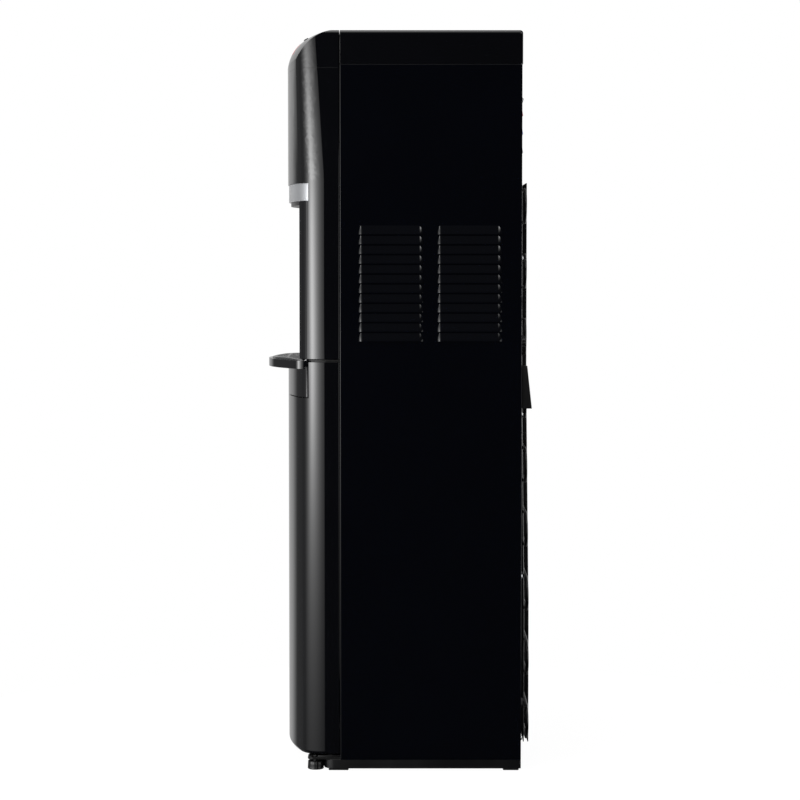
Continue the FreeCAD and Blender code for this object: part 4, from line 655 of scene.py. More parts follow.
# ---- shapes that follow a rule ---------------------------------------------
class Pattern(Graph):
    """A geometry tree with named sizes that ends in Realize Instances and Set Material."""

    def __init__(self, name: str, sizes: dict[str, float | int]) -> None:
        """Starts a tree.

        Args:
            name: the tree's name.
            sizes: value of each named input, an int for a count.
        """
        super().__init__(bpy.data.node_groups.new(name, "GeometryNodeTree"))
        self.sizes = sizes
        face = self.tree.interface
        face.new_socket("Geometry", in_out="INPUT", socket_type="NodeSocketGeometry")
        for label, value in sizes.items():
            kind = "NodeSocketInt" if isinstance(value, int) else "NodeSocketFloat"
            face.new_socket(label, in_out="INPUT", socket_type=kind)
        face.new_socket("Geometry", in_out="OUTPUT", socket_type="NodeSocketGeometry")
        self.inputs = self.add("NodeGroupInput").outputs

    def vector(self, x: Input = 0.0, y: Input = 0.0, z: Input = 0.0) -> Socket:
        """Returns a vector made of three values."""
        return self.add("ShaderNodeCombineXYZ", {0: x, 1: y, 2: z}).outputs[0]

    def shape(self, kind: str, inputs: Inputs | None = None, **settings: object) -> Socket:
        """Adds a geometry node and returns its first output."""
        return self.add("GeometryNode" + kind, inputs, **settings).outputs[0]

    def position(self) -> tuple[Socket, Socket, Socket]:
        """Returns the X, Y and Z of each point."""
        return tuple(self.add("ShaderNodeSeparateXYZ", {0: self.shape("InputPosition")}).outputs)

    def joined(self, *parts: Socket) -> Socket:
        """Joins several geometries.

        Args:
            parts: the geometries, in order.

        Returns:
            One geometry.
        """
        node = self.add("GeometryNodeJoinGeometry")
        for part in parts:
            self.feed(node.inputs[0], part)
        return node.outputs[0]

    def row(self, count: Input, start: Input, offset: Input, mode: str = "OFFSET") -> Socket:
        """Returns points in a straight row; with END_POINTS, the offset is the row's other end."""
        return self.shape("MeshLine", {"Count": count, "Start Location": start, "Offset": offset}, mode=mode)

    def path(self, edges: Socket) -> Socket:
        """Turns a run of edges into a curve."""
        return self.shape("MeshToCurve", {"Mesh": edges})

    def swept(self, path: Socket, section: Socket) -> Socket:
        """Sweeps a closed section along a curve, closes its ends and returns the mesh."""
        return self.shape("CurveToMesh", {"Curve": path, "Profile Curve": section, "Fill Caps": True})

    def tube(self, path: Socket, radius: Input, sides: int) -> Socket:
        """Sweeps a round section along a curve and returns the mesh."""
        return self.swept(path, self.shape("CurvePrimitiveCircle", {"Resolution": sides, "Radius": radius}))

    def bar(self, width: Input, height: Input, rounding: Input) -> Socket:
        """Returns the outline of a bar with rounded edges."""
        box = self.shape("CurvePrimitiveQuadrilateral", {"Width": width, "Height": height})
        return self.shape("FilletCurve", {"Curve": box, "Radius": rounding, "Count": 4}, mode="POLY")

    def copied(self, places: Socket, shape: Socket) -> Socket:
        """Puts a copy of a shape on each point and returns the instances."""
        return self.shape("InstanceOnPoints", {"Points": places, "Instance": shape})

    def moved(self, shape: Socket, place: Input, turn: Input = (0, 0, 0)) -> Socket:
        """Returns a shape that is turned and moved."""
        return self.shape("Transform", {"Geometry": shape, "Translation": place, "Rotation": turn})

    def scaled(self, shape: Socket, scale: Input) -> Socket:
        """Returns a shape that is scaled by a share along each axis."""
        return self.shape("Transform", {"Geometry": shape, "Scale": scale})

    def welded(self, shape: Socket) -> Socket:
        """Returns a shape whose points at one place are one point."""
        return self.shape("MergeByDistance", {"Geometry": shape, "Distance": WELD})

    def run(self, piece: bpy.types.Object, result: Socket, slot: str) -> bpy.types.Object:
        """Ends the tree, runs it on a piece and turns the result into plain mesh.

        Args:
            piece: the object that carries the tree.
            result: the tree's result.
            slot: the material slot whose finish it takes.

        Returns:
            The piece, with plain mesh.
        """
        solid = self.shape("RealizeInstances", {"Geometry": result})
        finish = SLOTS[slot].material()
        self.add("NodeGroupOutput", {0: self.shape("SetMaterial", {"Geometry": solid, "Material": finish})})
        modifier = piece.modifiers.new("pattern", "NODES")
        modifier.node_group = self.tree
        for item in self.tree.interface.items_tree:
            if item.in_out == "INPUT" and item.name in self.sizes:
                modifier[item.identifier] = self.sizes[item.name]
        shade(bake(piece))
        return piece


@dataclass
class SidePanel:
    """Folded side panel with two columns of pressed, hooded slots.

    Attributes:
        node: the frame node that it stands for.
        side: 1 for the panel on +X, -1 for the one on -X.
        sheet: thickness of the sheet.
        flange: width of the rear flange.
        fold: radius of the sheet's edges and folds.
        fold_facets: facets across a fold.
        fold_angle: edges that turn by more than this angle, in degrees, are folds.
        columns: slots side by side.
        rows: slots one above the other.
        length: length of a hood.
        height: height of a hood above its lip.
        rise: how far a hood stands out.
        end: length of a hood's rounded rear end.
        front_end: length of its front end.
        end_power: how suddenly the rear end drops; 2 is a round end.
        front_power: how suddenly the front end drops.
        hollow: how much steeper a hood's top is than its lip, as a share.
        sunk: how deep a hood's ends sink into the plate.
        crowding: how much closer together a hood's points stand at its ends.
        points: points along a hood, and up it.
        pitch: spacing of the rows.
        column_pitch: spacing of the columns.
        first_y: front end of the first column.
        first_z: lip of the lowest hood.
        slot_inset: how far a slot stops inside its hood's ends.
        slot_height: height of a slot.
        strip: width of the flat strips beside the plate's edges, which keep the plate's shading flat.
    """

    node: str
    side: int
    sheet: float = 0.001
    flange: float = 0.012
    fold: float = 0.0006
    fold_facets: int = 3
    fold_angle: float = 40.0
    columns: int = 2
    rows: int = 12
    length: float = 0.0887
    height: float = 0.0123
    rise: float = 0.003
    end: float = 0.0085
    front_end: float = 0.005
    end_power: float = 3.0
    front_power: float = 6.0
    hollow: float = 0.45
    sunk: float = 0.0015
    crowding: float = 1.8
    points: tuple[int, int] = (49, 15)
    pitch: float = 0.0136
    column_pitch: float = 0.1104
    first_y: float = -0.0538
    first_z: float = 0.6064
    slot_inset: float = 0.004
    slot_height: float = 0.009
    strip: float = 0.001

    def face(self) -> float:
        """Returns how far the plate's outer face is from the cabinet's middle."""
        return max(abs(corner[0]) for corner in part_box(self.node)) - self.rise

    def breaks(self, low: float, high: float, first: float, count: int, pitch: float,
               size: float) -> list[float]:
        """Lists where the plate's cells end along one axis, with a strip beside each edge.

        Args:
            low: the plate's lower end.
            high: its upper end.
            first: where the first slot starts.
            count: number of slots.
            pitch: spacing of the slots.
            size: length of a slot.

        Returns:
            The ends of the cells, from low to high.
        """
        ends = (-self.strip, 0.0, size, size + self.strip)
        slots = [first + k * pitch + end for k in range(count) for end in ends]
        return [low, low + self.strip, *slots, high - self.strip, high]

    def cells(self, build: bmesh.types.BMesh, lines: Sequence[Sequence[bmesh.types.BMVert]],
              slotted: bool) -> None:
        """Fills the cells between neighbouring lines of points.

        Args:
            build: the mesh that the faces go into.
            lines: upright lines of points, from front to back.
            slotted: True where every fourth cell of every fourth line is a slot.
        """
        for i, (near, far) in enumerate(zip(lines, lines[1:])):
            for k in range(len(near) - 1):
                if slotted and i % 4 == 3 and k % 4 == 3:
                    continue
                ring = [near[k], far[k], far[k + 1], near[k + 1]]
                build.faces.new(ring if self.side > 0 else ring[::-1])

    def plate(self) -> bpy.types.Object:
        """Builds the flat plate with its slots and rear flange.

        Returns:
            The plate, with the modifiers that give it its thickness and its folds.
        """
        low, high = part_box(self.node)
        face_x = self.side * self.face()
        slot = self.length - 2 * self.slot_inset
        first = self.first_y + self.slot_inset
        ys = self.breaks(low[1], high[1], first, self.columns, self.column_pitch, slot)
        zs = self.breaks(low[2], high[2], self.first_z, self.rows, self.pitch, self.slot_height)
        build = bmesh.new()
        grid = [[build.verts.new((face_x, y, z)) for z in zs] for y in ys]
        self.cells(build, grid, True)
        rear = [build.verts.new((face_x - self.side * self.flange, high[1], z)) for z in zs]
        self.cells(build, [grid[-1], rear], False)
        piece = new_piece(self.node + "_pressing", build)
        solid = piece.modifiers.new("sheet", "SOLIDIFY")
        solid.thickness, solid.offset, solid.use_even_offset = self.sheet, -1.0, True
        fold = piece.modifiers.new("edges", "BEVEL")
        fold.width, fold.segments, fold.limit_method = self.fold, self.fold_facets, "ANGLE"
        fold.angle_limit = math.radians(self.fold_angle)
        return piece

    def hood(self, tree: Pattern) -> Socket:
        """Bends a grid into one hood, gives it its thickness and closes its edges.

        Args:
            tree: the tree that the nodes go into.

        Returns:
            A hood whose lip is at Z 0 and whose middle is at Y 0.
        """
        i = tree.inputs
        along_count, up_count = self.points
        grid = tree.shape("MeshGrid", {"Size X": 2.0, "Size Y": 1.0, "Vertices X": along_count,
                                       "Vertices Y": up_count})
        u, v, _ = tree.position()
        v = tree.plus(v, 0.5)
        sign = tree.maths("SIGN", u)
        half = tree.times(i["Length"], 0.5)
        away = tree.power(tree.less(1.0, tree.maths("ABSOLUTE", u)), self.crowding)
        y = tree.times(tree.times(sign, tree.less(1.0, away)), half)
        z = tree.times(v, i["Height"])
        bend = tree.times(tree.times(i["Hollow"], v), tree.less(v, 1.0))
        slope = tree.less(tree.less(1.0, v), bend)
        end = tree.ranged(sign, -1.0, 1.0, i["Front End"], i["End"])
        beyond = tree.greater(tree.less(tree.maths("ABSOLUTE", y), tree.less(half, end)), 0.0)
        power = tree.ranged(sign, -1.0, 1.0, i["Front Power"], i["End Power"])
        drop = tree.power(tree.maths("DIVIDE", beyond, end), power)
        stand = tree.times(tree.less(slope, drop), i["Rise"])
        x = tree.greater(tree.less(stand, i["Sheet"]), -self.sunk)
        bent = tree.shape("SetPosition", {"Geometry": grid, "Position": tree.vector(x, y, z)})
        thick = {"Mesh": bent, "Offset Scale": i["Sheet"], "Individual": False}
        skin = tree.shape("ExtrudeMesh", thick, mode="FACES")
        return tree.welded(tree.joined(skin, tree.shape("FlipFaces", {0: bent})))

    def build(self) -> None:
        """Adds the hoods to the plate."""
        tree = Pattern("slot hoods", {
            "Rise": self.rise, "Height": self.height, "Length": self.length, "End": self.end,
            "Front End": self.front_end, "End Power": self.end_power, "Front Power": self.front_power,
            "Hollow": self.hollow, "Sheet": self.sheet, "Rows": self.rows, "Columns": self.columns,
            "Pitch": self.pitch, "Column Pitch": self.column_pitch, "Face": self.face(),
            "Side": float(self.side), "First Y": self.first_y, "First Z": self.first_z,
        })
        i = tree.inputs
        column = tree.row(i["Rows"], tree.vector(z=i["First Z"]), tree.vector(z=i["Pitch"]))
        middle = tree.plus(i["First Y"], tree.times(i["Length"], 0.5))
        row = tree.row(i["Columns"], tree.vector(i["Face"], middle), tree.vector(y=i["Column Pitch"]))
        hoods = tree.copied(row, tree.copied(column, self.hood(tree)))
        mirrored = tree.scaled(hoods, tree.vector(i["Side"], 1.0, 1.0))
        piece = tree.run(self.plate(), tree.joined(i["Geometry"], mirrored), slot_of(self.node))
        finished(faced_outward(piece), self.node)


@dataclass(frozen=True)
class Plan:
    """The cabinet's front in plan: straight sides, corner arcs and a shallow front arc.

    Attributes:
        half: half the cabinet's width.
        corner: radius of the corner arcs.
        tangent_y: where the corner arcs start.
        front_y: middle of the front arc.
        steps: points on each arc.
    """

    half: float = 0.155
    corner: float = 0.039
    tangent_y: float = -0.1025
    front_y: float = -0.1595
    steps: int = 24

    def outline(self, inset: float, back_y: float) -> list[tuple[float, float]]:
        """Works out a line that follows the front at an even distance.

        Args:
            inset: how far inside the outer face.
            back_y: where the sides start.

        Returns:
            Points from the +X side round the front to the -X side.
        """
        run, rise = self.half - self.corner, self.tangent_y - self.front_y - self.corner
        offset = (run ** 2 + rise ** 2) / (2 * rise)
        turn = math.acos(run / offset)
        centre_y = self.front_y + self.corner + offset
        small, large = self.corner - inset, self.corner + offset - inset
        corner_turns = [turn * k / self.steps for k in range(self.steps)]
        front_turns = [turn + (math.pi / 2 - turn) * k / self.steps for k in range(self.steps)]
        right = [(self.half - inset, back_y)]
        right += [(run + small * math.cos(a), self.tangent_y - small * math.sin(a)) for a in corner_turns]
        right += [(large * math.cos(a), centre_y - large * math.sin(a)) for a in front_turns]
        return right + [(0.0, centre_y - large)] + [(-x, y) for x, y in reversed(right)]


def path_piece(name: str, *runs: Sequence[Sequence[float]]) -> bpy.types.Object:
    """Makes an object of open runs of edges.

    Args:
        name: the object's name.
        runs: the points of each run, in order.

    Returns:
        The object.
    """
    build = bmesh.new()
    for run in runs:
        verts = [build.verts.new(point) for point in run]
        for first, second in zip(verts, verts[1:]):
            build.edges.new((first, second))
    return new_piece(name, build)


@dataclass
class TrimBand:
    """Lacquered band round the head's lower edge, swept along the front.

    Attributes:
        node: the frame node that it stands for.
        wall: thickness.
        inset: how far it lies inside the front's face.
        rounding: radius of its long edges.
    """

    node: str = "trim_band"
    wall: float = 0.0015
    inset: float = 0.0013
    rounding: float = 0.0006

    def build(self) -> None:
        """Sweeps the band's section along its path."""
        low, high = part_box(self.node)
        middle = (low[2] + high[2]) / 2
        inset = self.inset + self.wall / 2
        path = [(x, y, middle) for x, y in Plan().outline(inset, high[1]) if abs(x) <= high[0]]
        tree = Pattern("band", {"Wall": self.wall, "Height": high[2] - low[2], "Rounding": self.rounding})
        i = tree.inputs
        swept = tree.swept(tree.path(i["Geometry"]), tree.bar(i["Wall"], i["Height"], i["Rounding"]))
        finished(tree.run(path_piece("trim_band_bar", path), swept, slot_of(self.node)), self.node)


@dataclass
class Gasket:
    """Soft seal along the door's top edge, at each side of the drip tray.

    Attributes:
        body: the body that it rides on.
        slot: its material slot.
        inset: how far it lies inside the door's face.
        width: thickness of the seal.
        foot: how far it reaches down behind the door's face.
        clearance: gap left under the fascia.
        softness: radius of its edges, as a share of its width.
        end_y: where it stops at the tray.
        back_gap: how far its rear end stops inside the door.
    """

    body: str = "door"
    slot: str = "rubber_black"
    inset: float = 0.0055
    width: float = 0.004
    foot: float = 0.004
    clearance: float = 0.0003
    softness: float = 0.12
    end_y: float = -0.124
    back_gap: float = 0.001

    def build(self) -> None:
        """Sweeps the seal along each side."""
        door_top, fascia_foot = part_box("door_skin")[1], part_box("front_fascia")[0]
        low, high = door_top[2] - self.foot, fascia_foot[2] - self.clearance
        middle = (low + high) / 2
        line = Plan().outline(self.inset + self.width / 2, door_top[1] - self.back_gap)
        path = [(x, y) for x, y in line if x > 0 and y > self.end_y]
        runs = [[(side * x, y, middle) for x, y in path] for side in (1, -1)]
        tree = Pattern("seal", {"Width": self.width, "Height": high - low})
        i = tree.inputs
        bar = tree.bar(i["Width"], i["Height"], tree.times(i["Width"], self.softness))
        swept = tree.swept(tree.path(i["Geometry"]), bar)
        piece = tree.run(path_piece("door_top_seal", *runs), swept, self.slot)
        placed(faced_outward(piece), self.body, self.slot)


@dataclass
class Condenser:
    """Serpentine tube with wires across it, behind the cabinet.

    Attributes:
        node: the frame node that it stands for.
        runs: straight runs of the tube.
        pitch: spacing of the runs.
        lean_top: height where it starts to lean backwards.
        lean_bottom: height where the lean ends.
        stand: gap between the cabinet's back and the tube's middle, above the lean.
        step: how much further back it stands below the lean.
        tube: radius of the tube.
        wire: radius of a wire.
        wires: wires on each face.
        wire_end: how far a wire reaches past the first and last runs.
        wire_points: points along a wire.
        margin: gap between the runs' ends and the outer wires.
        bend: radius of the return pipes' corners.
        bend_steps: facets round a corner.
        loop_steps: facets round the half turn between two runs.
        left: -X end of the runs.
        right: +X end of the runs.
        return_x: where the two return pipes go up.
        back_inner: how far forwards the return pipes reach, inside the back.
        rear: the back's outer face.
        bottom: height of the lowest run.
        liquid: height where the liquid's pipe goes in.
        vapour: height where the vapour's pipe goes in.
    """

    node: str = "condenser"
    runs: int = 18
    pitch: float = 0.046
    lean_top: float = 0.55
    lean_bottom: float = 0.22
    stand: float = 0.0061
    step: float = 0.0041
    tube: float = 0.0024
    wire: float = 0.0008
    wires: int = 13
    wire_end: float = 0.01
    wire_points: int = 97
    margin: float = 0.016
    bend: float = 0.0048
    bend_steps: int = 6
    loop_steps: int = 16
    left: float = -0.097
    right: float = 0.096
    return_x: float = -0.128
    back_inner: float = 0.1715
    rear: float = 0.1735
    bottom: float = 0.0377
    liquid: float = 0.64
    vapour: float = 0.7

    def place(self, run: int) -> tuple[float, float]:
        """Works out where a run lies.

        Args:
            run: its number, from the bottom.

        Returns:
            Its Y and Z.
        """
        z = self.bottom + run * self.pitch
        lean = min(1.0, max(0.0, (self.lean_top - z) / (self.lean_top - self.lean_bottom)))
        return self.rear + self.stand + self.step * lean, z

    def elbow(self, corner: Vector, start: Vector, end: Vector) -> list[Vector]:
        """Rounds a square corner with the return pipes' bend.

        Args:
            corner: the corner's point.
            start: a point on the line that comes in.
            end: a point on the line that goes out.

        Returns:
            Points from the line that comes in to the one that goes out.
        """
        first, second = (start - corner).normalized(), (end - corner).normalized()
        centre = corner + (first + second) * self.bend
        turns = [math.pi / 2 * k / self.bend_steps for k in range(self.bend_steps + 1)]
        return [centre + (-second * math.cos(a) - first * math.sin(a)) * self.bend for a in turns]

    def loop(self, run: int) -> list[Vector]:
        """Makes the half turn that joins a run to the next one up.

        Args:
            run: the lower run's number.

        Returns:
            Points from the lower run to the upper one.
        """
        (y, z), (next_y, next_z) = self.place(run), self.place(run + 1)
        side = 1 if run % 2 == 0 else -1
        across = Vector((0, next_y - y, next_z - z))
        reach = across.length / 2
        middle = Vector((self.right if side > 0 else self.left, y, z)) + across / 2
        up, out = across.normalized() * reach, Vector((side * reach, 0, 0))
        turns = [math.pi * k / self.loop_steps for k in range(self.loop_steps + 1)]
        return [middle - up * math.cos(a) + out * math.sin(a) for a in turns]

    def coil(self) -> list[Vector]:
        """Lists the tube's middle line.

        Returns:
            Points from the liquid's end to the vapour's end.
        """
        x = self.return_x
        (low_y, low_z), (high_y, high_z) = self.place(0), self.place(self.runs - 1)
        start, last = Vector((x, self.back_inner, self.liquid)), Vector((x, self.back_inner, self.vapour))
        first, second = Vector((x, low_y, self.liquid)), Vector((x, low_y, low_z))
        third, fourth = Vector((x, high_y, high_z)), Vector((x, high_y, self.vapour))
        into, out_of = Vector((0, low_y, low_z)), Vector((0, high_y, high_z))
        points = [start, *self.elbow(first, start, second), *self.elbow(second, first, into)]
        for run in range(self.runs - 1):
            points += self.loop(run)
        return [*points, *self.elbow(third, out_of, fourth), *self.elbow(fourth, third, last), last]

    def wire_shape(self, tree: Pattern) -> Socket:
        """Makes one upright wire that leans with the coil.

        Args:
            tree: the tree that the nodes go into.

        Returns:
            A wire at X 0, whose leaning foot is at Y 0.
        """
        i = tree.inputs
        line = tree.row(self.wire_points, tree.vector(z=i["Low"]), tree.vector(z=i["High"]), "END_POINTS")
        z = tree.position()[2]
        above = tree.ranged(z, i["Lean Bottom"], i["Lean Top"], 0.0, 1.0)
        forwards = tree.vector(y=tree.times(above, tree.times(i["Step"], -1.0)))
        leaning = tree.shape("SetPosition", {"Geometry": line, "Offset": forwards})
        return tree.tube(tree.path(leaning), i["Wire"], 8)

    def build(self) -> None:
        """Sweeps the tube and lays the wires on both of its faces."""
        low_y, low_z = self.place(0)
        high_z = self.place(self.runs - 1)[1]
        first_x = self.left + self.margin
        pitch = (self.right - self.margin - first_x) / (self.wires - 1)
        tree = Pattern("condenser", {
            "Tube": self.tube, "Wire": self.wire, "Wires": self.wires, "Pitch": pitch, "First": first_x,
            "Low": low_z - self.wire_end, "High": high_z + self.wire_end, "Lower Y": low_y,
            "Step": self.step, "Lean Top": self.lean_top, "Lean Bottom": self.lean_bottom,
        })
        i = tree.inputs
        layers = [tree.tube(tree.path(i["Geometry"]), i["Tube"], 16)]
        wire = self.wire_shape(tree)
        seat = tree.plus(i["Tube"], i["Wire"])
        for face in (-1.0, 1.0):
            y = tree.plus(i["Lower Y"], tree.times(seat, face))
            row = tree.row(i["Wires"], tree.vector(i["First"], y), tree.vector(i["Pitch"]))
            layers.append(tree.copied(row, wire))
        piece = tree.run(path_piece("condenser_coil", self.coil()), tree.joined(*layers), slot_of(self.node))
        finished(piece, self.node)


@dataclass(frozen=True)
class Drum:
    """A grid laid round an axis, before it gets its hollows and ridges.

    Attributes:
        grid: the flat grid.
        lap: each point's place round the axis, from -0.5 to 0.5.
        turn: the same as an angle.
        level: height over the drum's foot.
        wide: share of the radius that the rounded rims leave.
        radius: the drum's radius.
        base: height of its foot.
    """

    grid: Socket
    lap: Socket
    turn: Socket
    level: Socket
    wide: Socket
    radius: Input
    base: Input


@dataclass(frozen=True)
class Groove:
    """Hollows and ridges of a turned piece.

    Attributes:
        grips: hollows round it.
        grip: their depth.
        ridge: height of the thread or the rings.
        lead: spacing of the thread's turns or the rings.
        starts: 1 for a thread, 0 for rings.
    """

    grips: Input
    grip: Input
    ridge: Input
    lead: float
    starts: float


@dataclass
class Knob:
    """Turned piece with grips round its rim and a stem that may carry a thread.

    Attributes:
        node: the frame node that it stands for.
        middle: foot of its axis.
        radius: outer radius.
        height: height of the rim.
        grips: hollows round the rim.
        grip: depth of a hollow.
        stem: radius of the stem, or of the bore's plug.
        stem_top: height of the stem's top above the foot.
        thread: height of the thread, 0 for a plain stem.
        lying: True where its axis points backwards rather than up.
        squareness: 0 for a sharp rim, 1 for a ball.
        narrowness: how narrow the hollows are for their spacing.
        ring: height of the rings round the rim.
        ring_lead: spacing of the rings.
        thread_lead: spacing of the thread's turns.
        around: points round the axis.
        rim_points: points up the rim.
        stem_points: points up the stem.
    """

    node: str
    middle: Place
    radius: float
    height: float
    grips: int
    grip: float
    stem: float
    stem_top: float
    thread: float = 0.0
    lying: bool = False
    squareness: float = 0.22
    narrowness: float = 3.0
    ring: float = 0.0
    ring_lead: float = 0.0036
    thread_lead: float = 0.00125
    around: int = 145
    rim_points: int = 49
    stem_points: int = 97

    def drum(self, tree: Pattern, radius: Input, base: Input, height: Input, points: int) -> Drum:
        """Lays a grid round the axis as a drum with rounded rims.

        Args:
            tree: the tree that the nodes go into.
            radius: radius of the drum.
            base: height of its foot.
            height: its height.
            points: points up its side.

        Returns:
            The drum's grid and the values that shape it.
        """
        grid = tree.shape("MeshGrid", {"Size X": 1.0, "Size Y": 1.0, "Vertices X": self.around,
                                       "Vertices Y": points})
        lap, rise, _ = tree.position()
        tilt = tree.times(rise, math.pi)
        sine = tree.maths("SINE", tilt)
        wide = tree.power(tree.greater(tree.maths("COSINE", tilt), 0.0), self.squareness)
        tall = tree.times(tree.maths("SIGN", sine), tree.power(tree.maths("ABSOLUTE", sine), self.squareness))
        level = tree.times(tree.plus(tall, 1.0), tree.times(height, 0.5))
        return Drum(grid, lap, tree.times(lap, 2 * math.pi), level, wide, radius, base)

    def wrapped(self, tree: Pattern, drum: Drum, groove: Groove) -> Socket:
        """Presses hollows and ridges into a drum and closes it.

        Args:
            tree: the tree that the nodes go into.
            drum: the drum.
            groove: its hollows and ridges.

        Returns:
            The drum's mesh.
        """
        wave = tree.greater(tree.maths("COSINE", tree.times(drum.turn, groove.grips)), 0.0)
        hollow = tree.times(tree.power(wave, self.narrowness), groove.grip)
        climb = tree.times(drum.lap, groove.starts)
        ridge = tree.maths("PINGPONG", tree.plus(tree.maths("DIVIDE", drum.level, groove.lead), climb), 0.5)
        out = tree.less(tree.plus(drum.radius, tree.times(ridge, groove.ridge)), hollow)
        out = tree.times(out, drum.wide)
        x = tree.times(out, tree.maths("COSINE", drum.turn))
        y = tree.times(out, tree.maths("SINE", drum.turn))
        place = tree.vector(x, y, tree.plus(drum.level, drum.base))
        return tree.welded(tree.shape("SetPosition", {"Geometry": drum.grid, "Position": place}))

    def build(self) -> None:
        """Turns the rim and the stem."""
        tree = Pattern("knob", {"Radius": self.radius, "Height": self.height, "Grips": self.grips,
                                "Grip": self.grip, "Stem": self.stem, "Stem Top": self.stem_top,
                                "Thread": self.thread, "Ring": self.ring})
        i = tree.inputs
        rim = self.drum(tree, i["Radius"], 0.0, i["Height"], self.rim_points)
        rings = Groove(i["Grips"], i["Grip"], i["Ring"], self.ring_lead, 0.0)
        base = tree.times(i["Height"], 0.5)
        stem = self.drum(tree, i["Stem"], base, tree.less(i["Stem Top"], base), self.stem_points)
        thread = Groove(0, 0.0, i["Thread"], self.thread_lead, 1.0)
        shapes = tree.joined(self.wrapped(tree, rim, rings), self.wrapped(tree, stem, thread))
        turn = (-math.pi / 2, 0, 0) if self.lying else (0, 0, 0)
        piece = new_piece(self.node + "_knob", bmesh.new())
        finished(tree.run(piece, tree.moved(shapes, self.middle, turn), slot_of(self.node)), self.node)


@dataclass
class CaseScrews:
    """Pan-head screws with a cross recess, along the rear flanges.

    Attributes:
        node: the frame node that they stand for.
        radius: radius of a head.
        height: height of a head.
        cross: length of the recess.
        slit: width of the recess.
        depth: depth of the recess, as a share of twice the height.
        facets: facets round a head, and from pole to pole.
    """

    node: str = "case_screws"
    radius: float = 0.0035
    height: float = 0.002
    cross: float = 0.0034
    slit: float = 0.0008
    depth: float = 1.2
    facets: tuple[int, int] = (32, 24)

    def places(self) -> list[Vector]:
        """Finds the screws in the frame.

        Returns:
            The foot of each screw's head.
        """
        points = [v.co for v in frame["nodes"][self.node].data.vertices]
        rear = max(point.y for point in points) - 10 * WELD
        spots: list[list[Vector]] = []
        for point in (p for p in points if p.y > rear):
            near = next((s for s in spots if (s[0] - point).length < 3 * self.radius), None)
            if near is None:
                spots.append([point])
            else:
                near.append(point)
        middles = [[(min(v[k] for v in s) + max(v[k] for v in s)) / 2 for k in range(3)] for s in spots]
        return [Vector((x, y - self.height, z)) for x, y, z in middles]

    def build(self) -> None:
        """Puts a screw at each place."""
        tree = Pattern("screws", {"Radius": self.radius, "Height": self.height, "Cross": self.cross,
                                  "Slit": self.slit})
        i = tree.inputs
        segments, rings = self.facets
        ball = tree.shape("MeshUVSphere", {"Segments": segments, "Rings": rings, "Radius": 1.0})
        dome = tree.scaled(ball, tree.vector(i["Radius"], i["Height"], i["Radius"]))
        wide, deep = tree.times(i["Radius"], 4.0), tree.times(i["Height"], 2.0)
        under = tree.shape("MeshCube", {"Size": tree.vector(wide, deep, wide)})
        cuts = [tree.moved(under, tree.vector(y=tree.times(i["Height"], -1.0)))]
        depth = tree.times(i["Height"], self.depth)
        for size in (tree.vector(i["Cross"], depth, i["Slit"]), tree.vector(i["Slit"], depth, i["Cross"])):
            cuts.append(tree.moved(tree.shape("MeshCube", {"Size": size}), tree.vector(y=i["Height"])))
        head = tree.add("GeometryNodeMeshBoolean", {"Mesh 1": dome}, operation="DIFFERENCE")
        for cut in cuts:
            tree.feed(head.inputs["Mesh 2"], cut)
        build = bmesh.new()
        for place in self.places():
            build.verts.new(place)
        heads = tree.copied(i["Geometry"], head.outputs[0])
        finished(tree.run(new_piece("case_screw_heads", build), heads, slot_of(self.node)), self.node)


# ---- sub-assemblies --------------------------------------------------------
def mouldings(nodes: Sequence[str], edge: float, segments: int = 2) -> None:
    """Builds plain mouldings whose edges are rounded alike."""
    for node in nodes:
        Moulding(node, edge, segments).build()


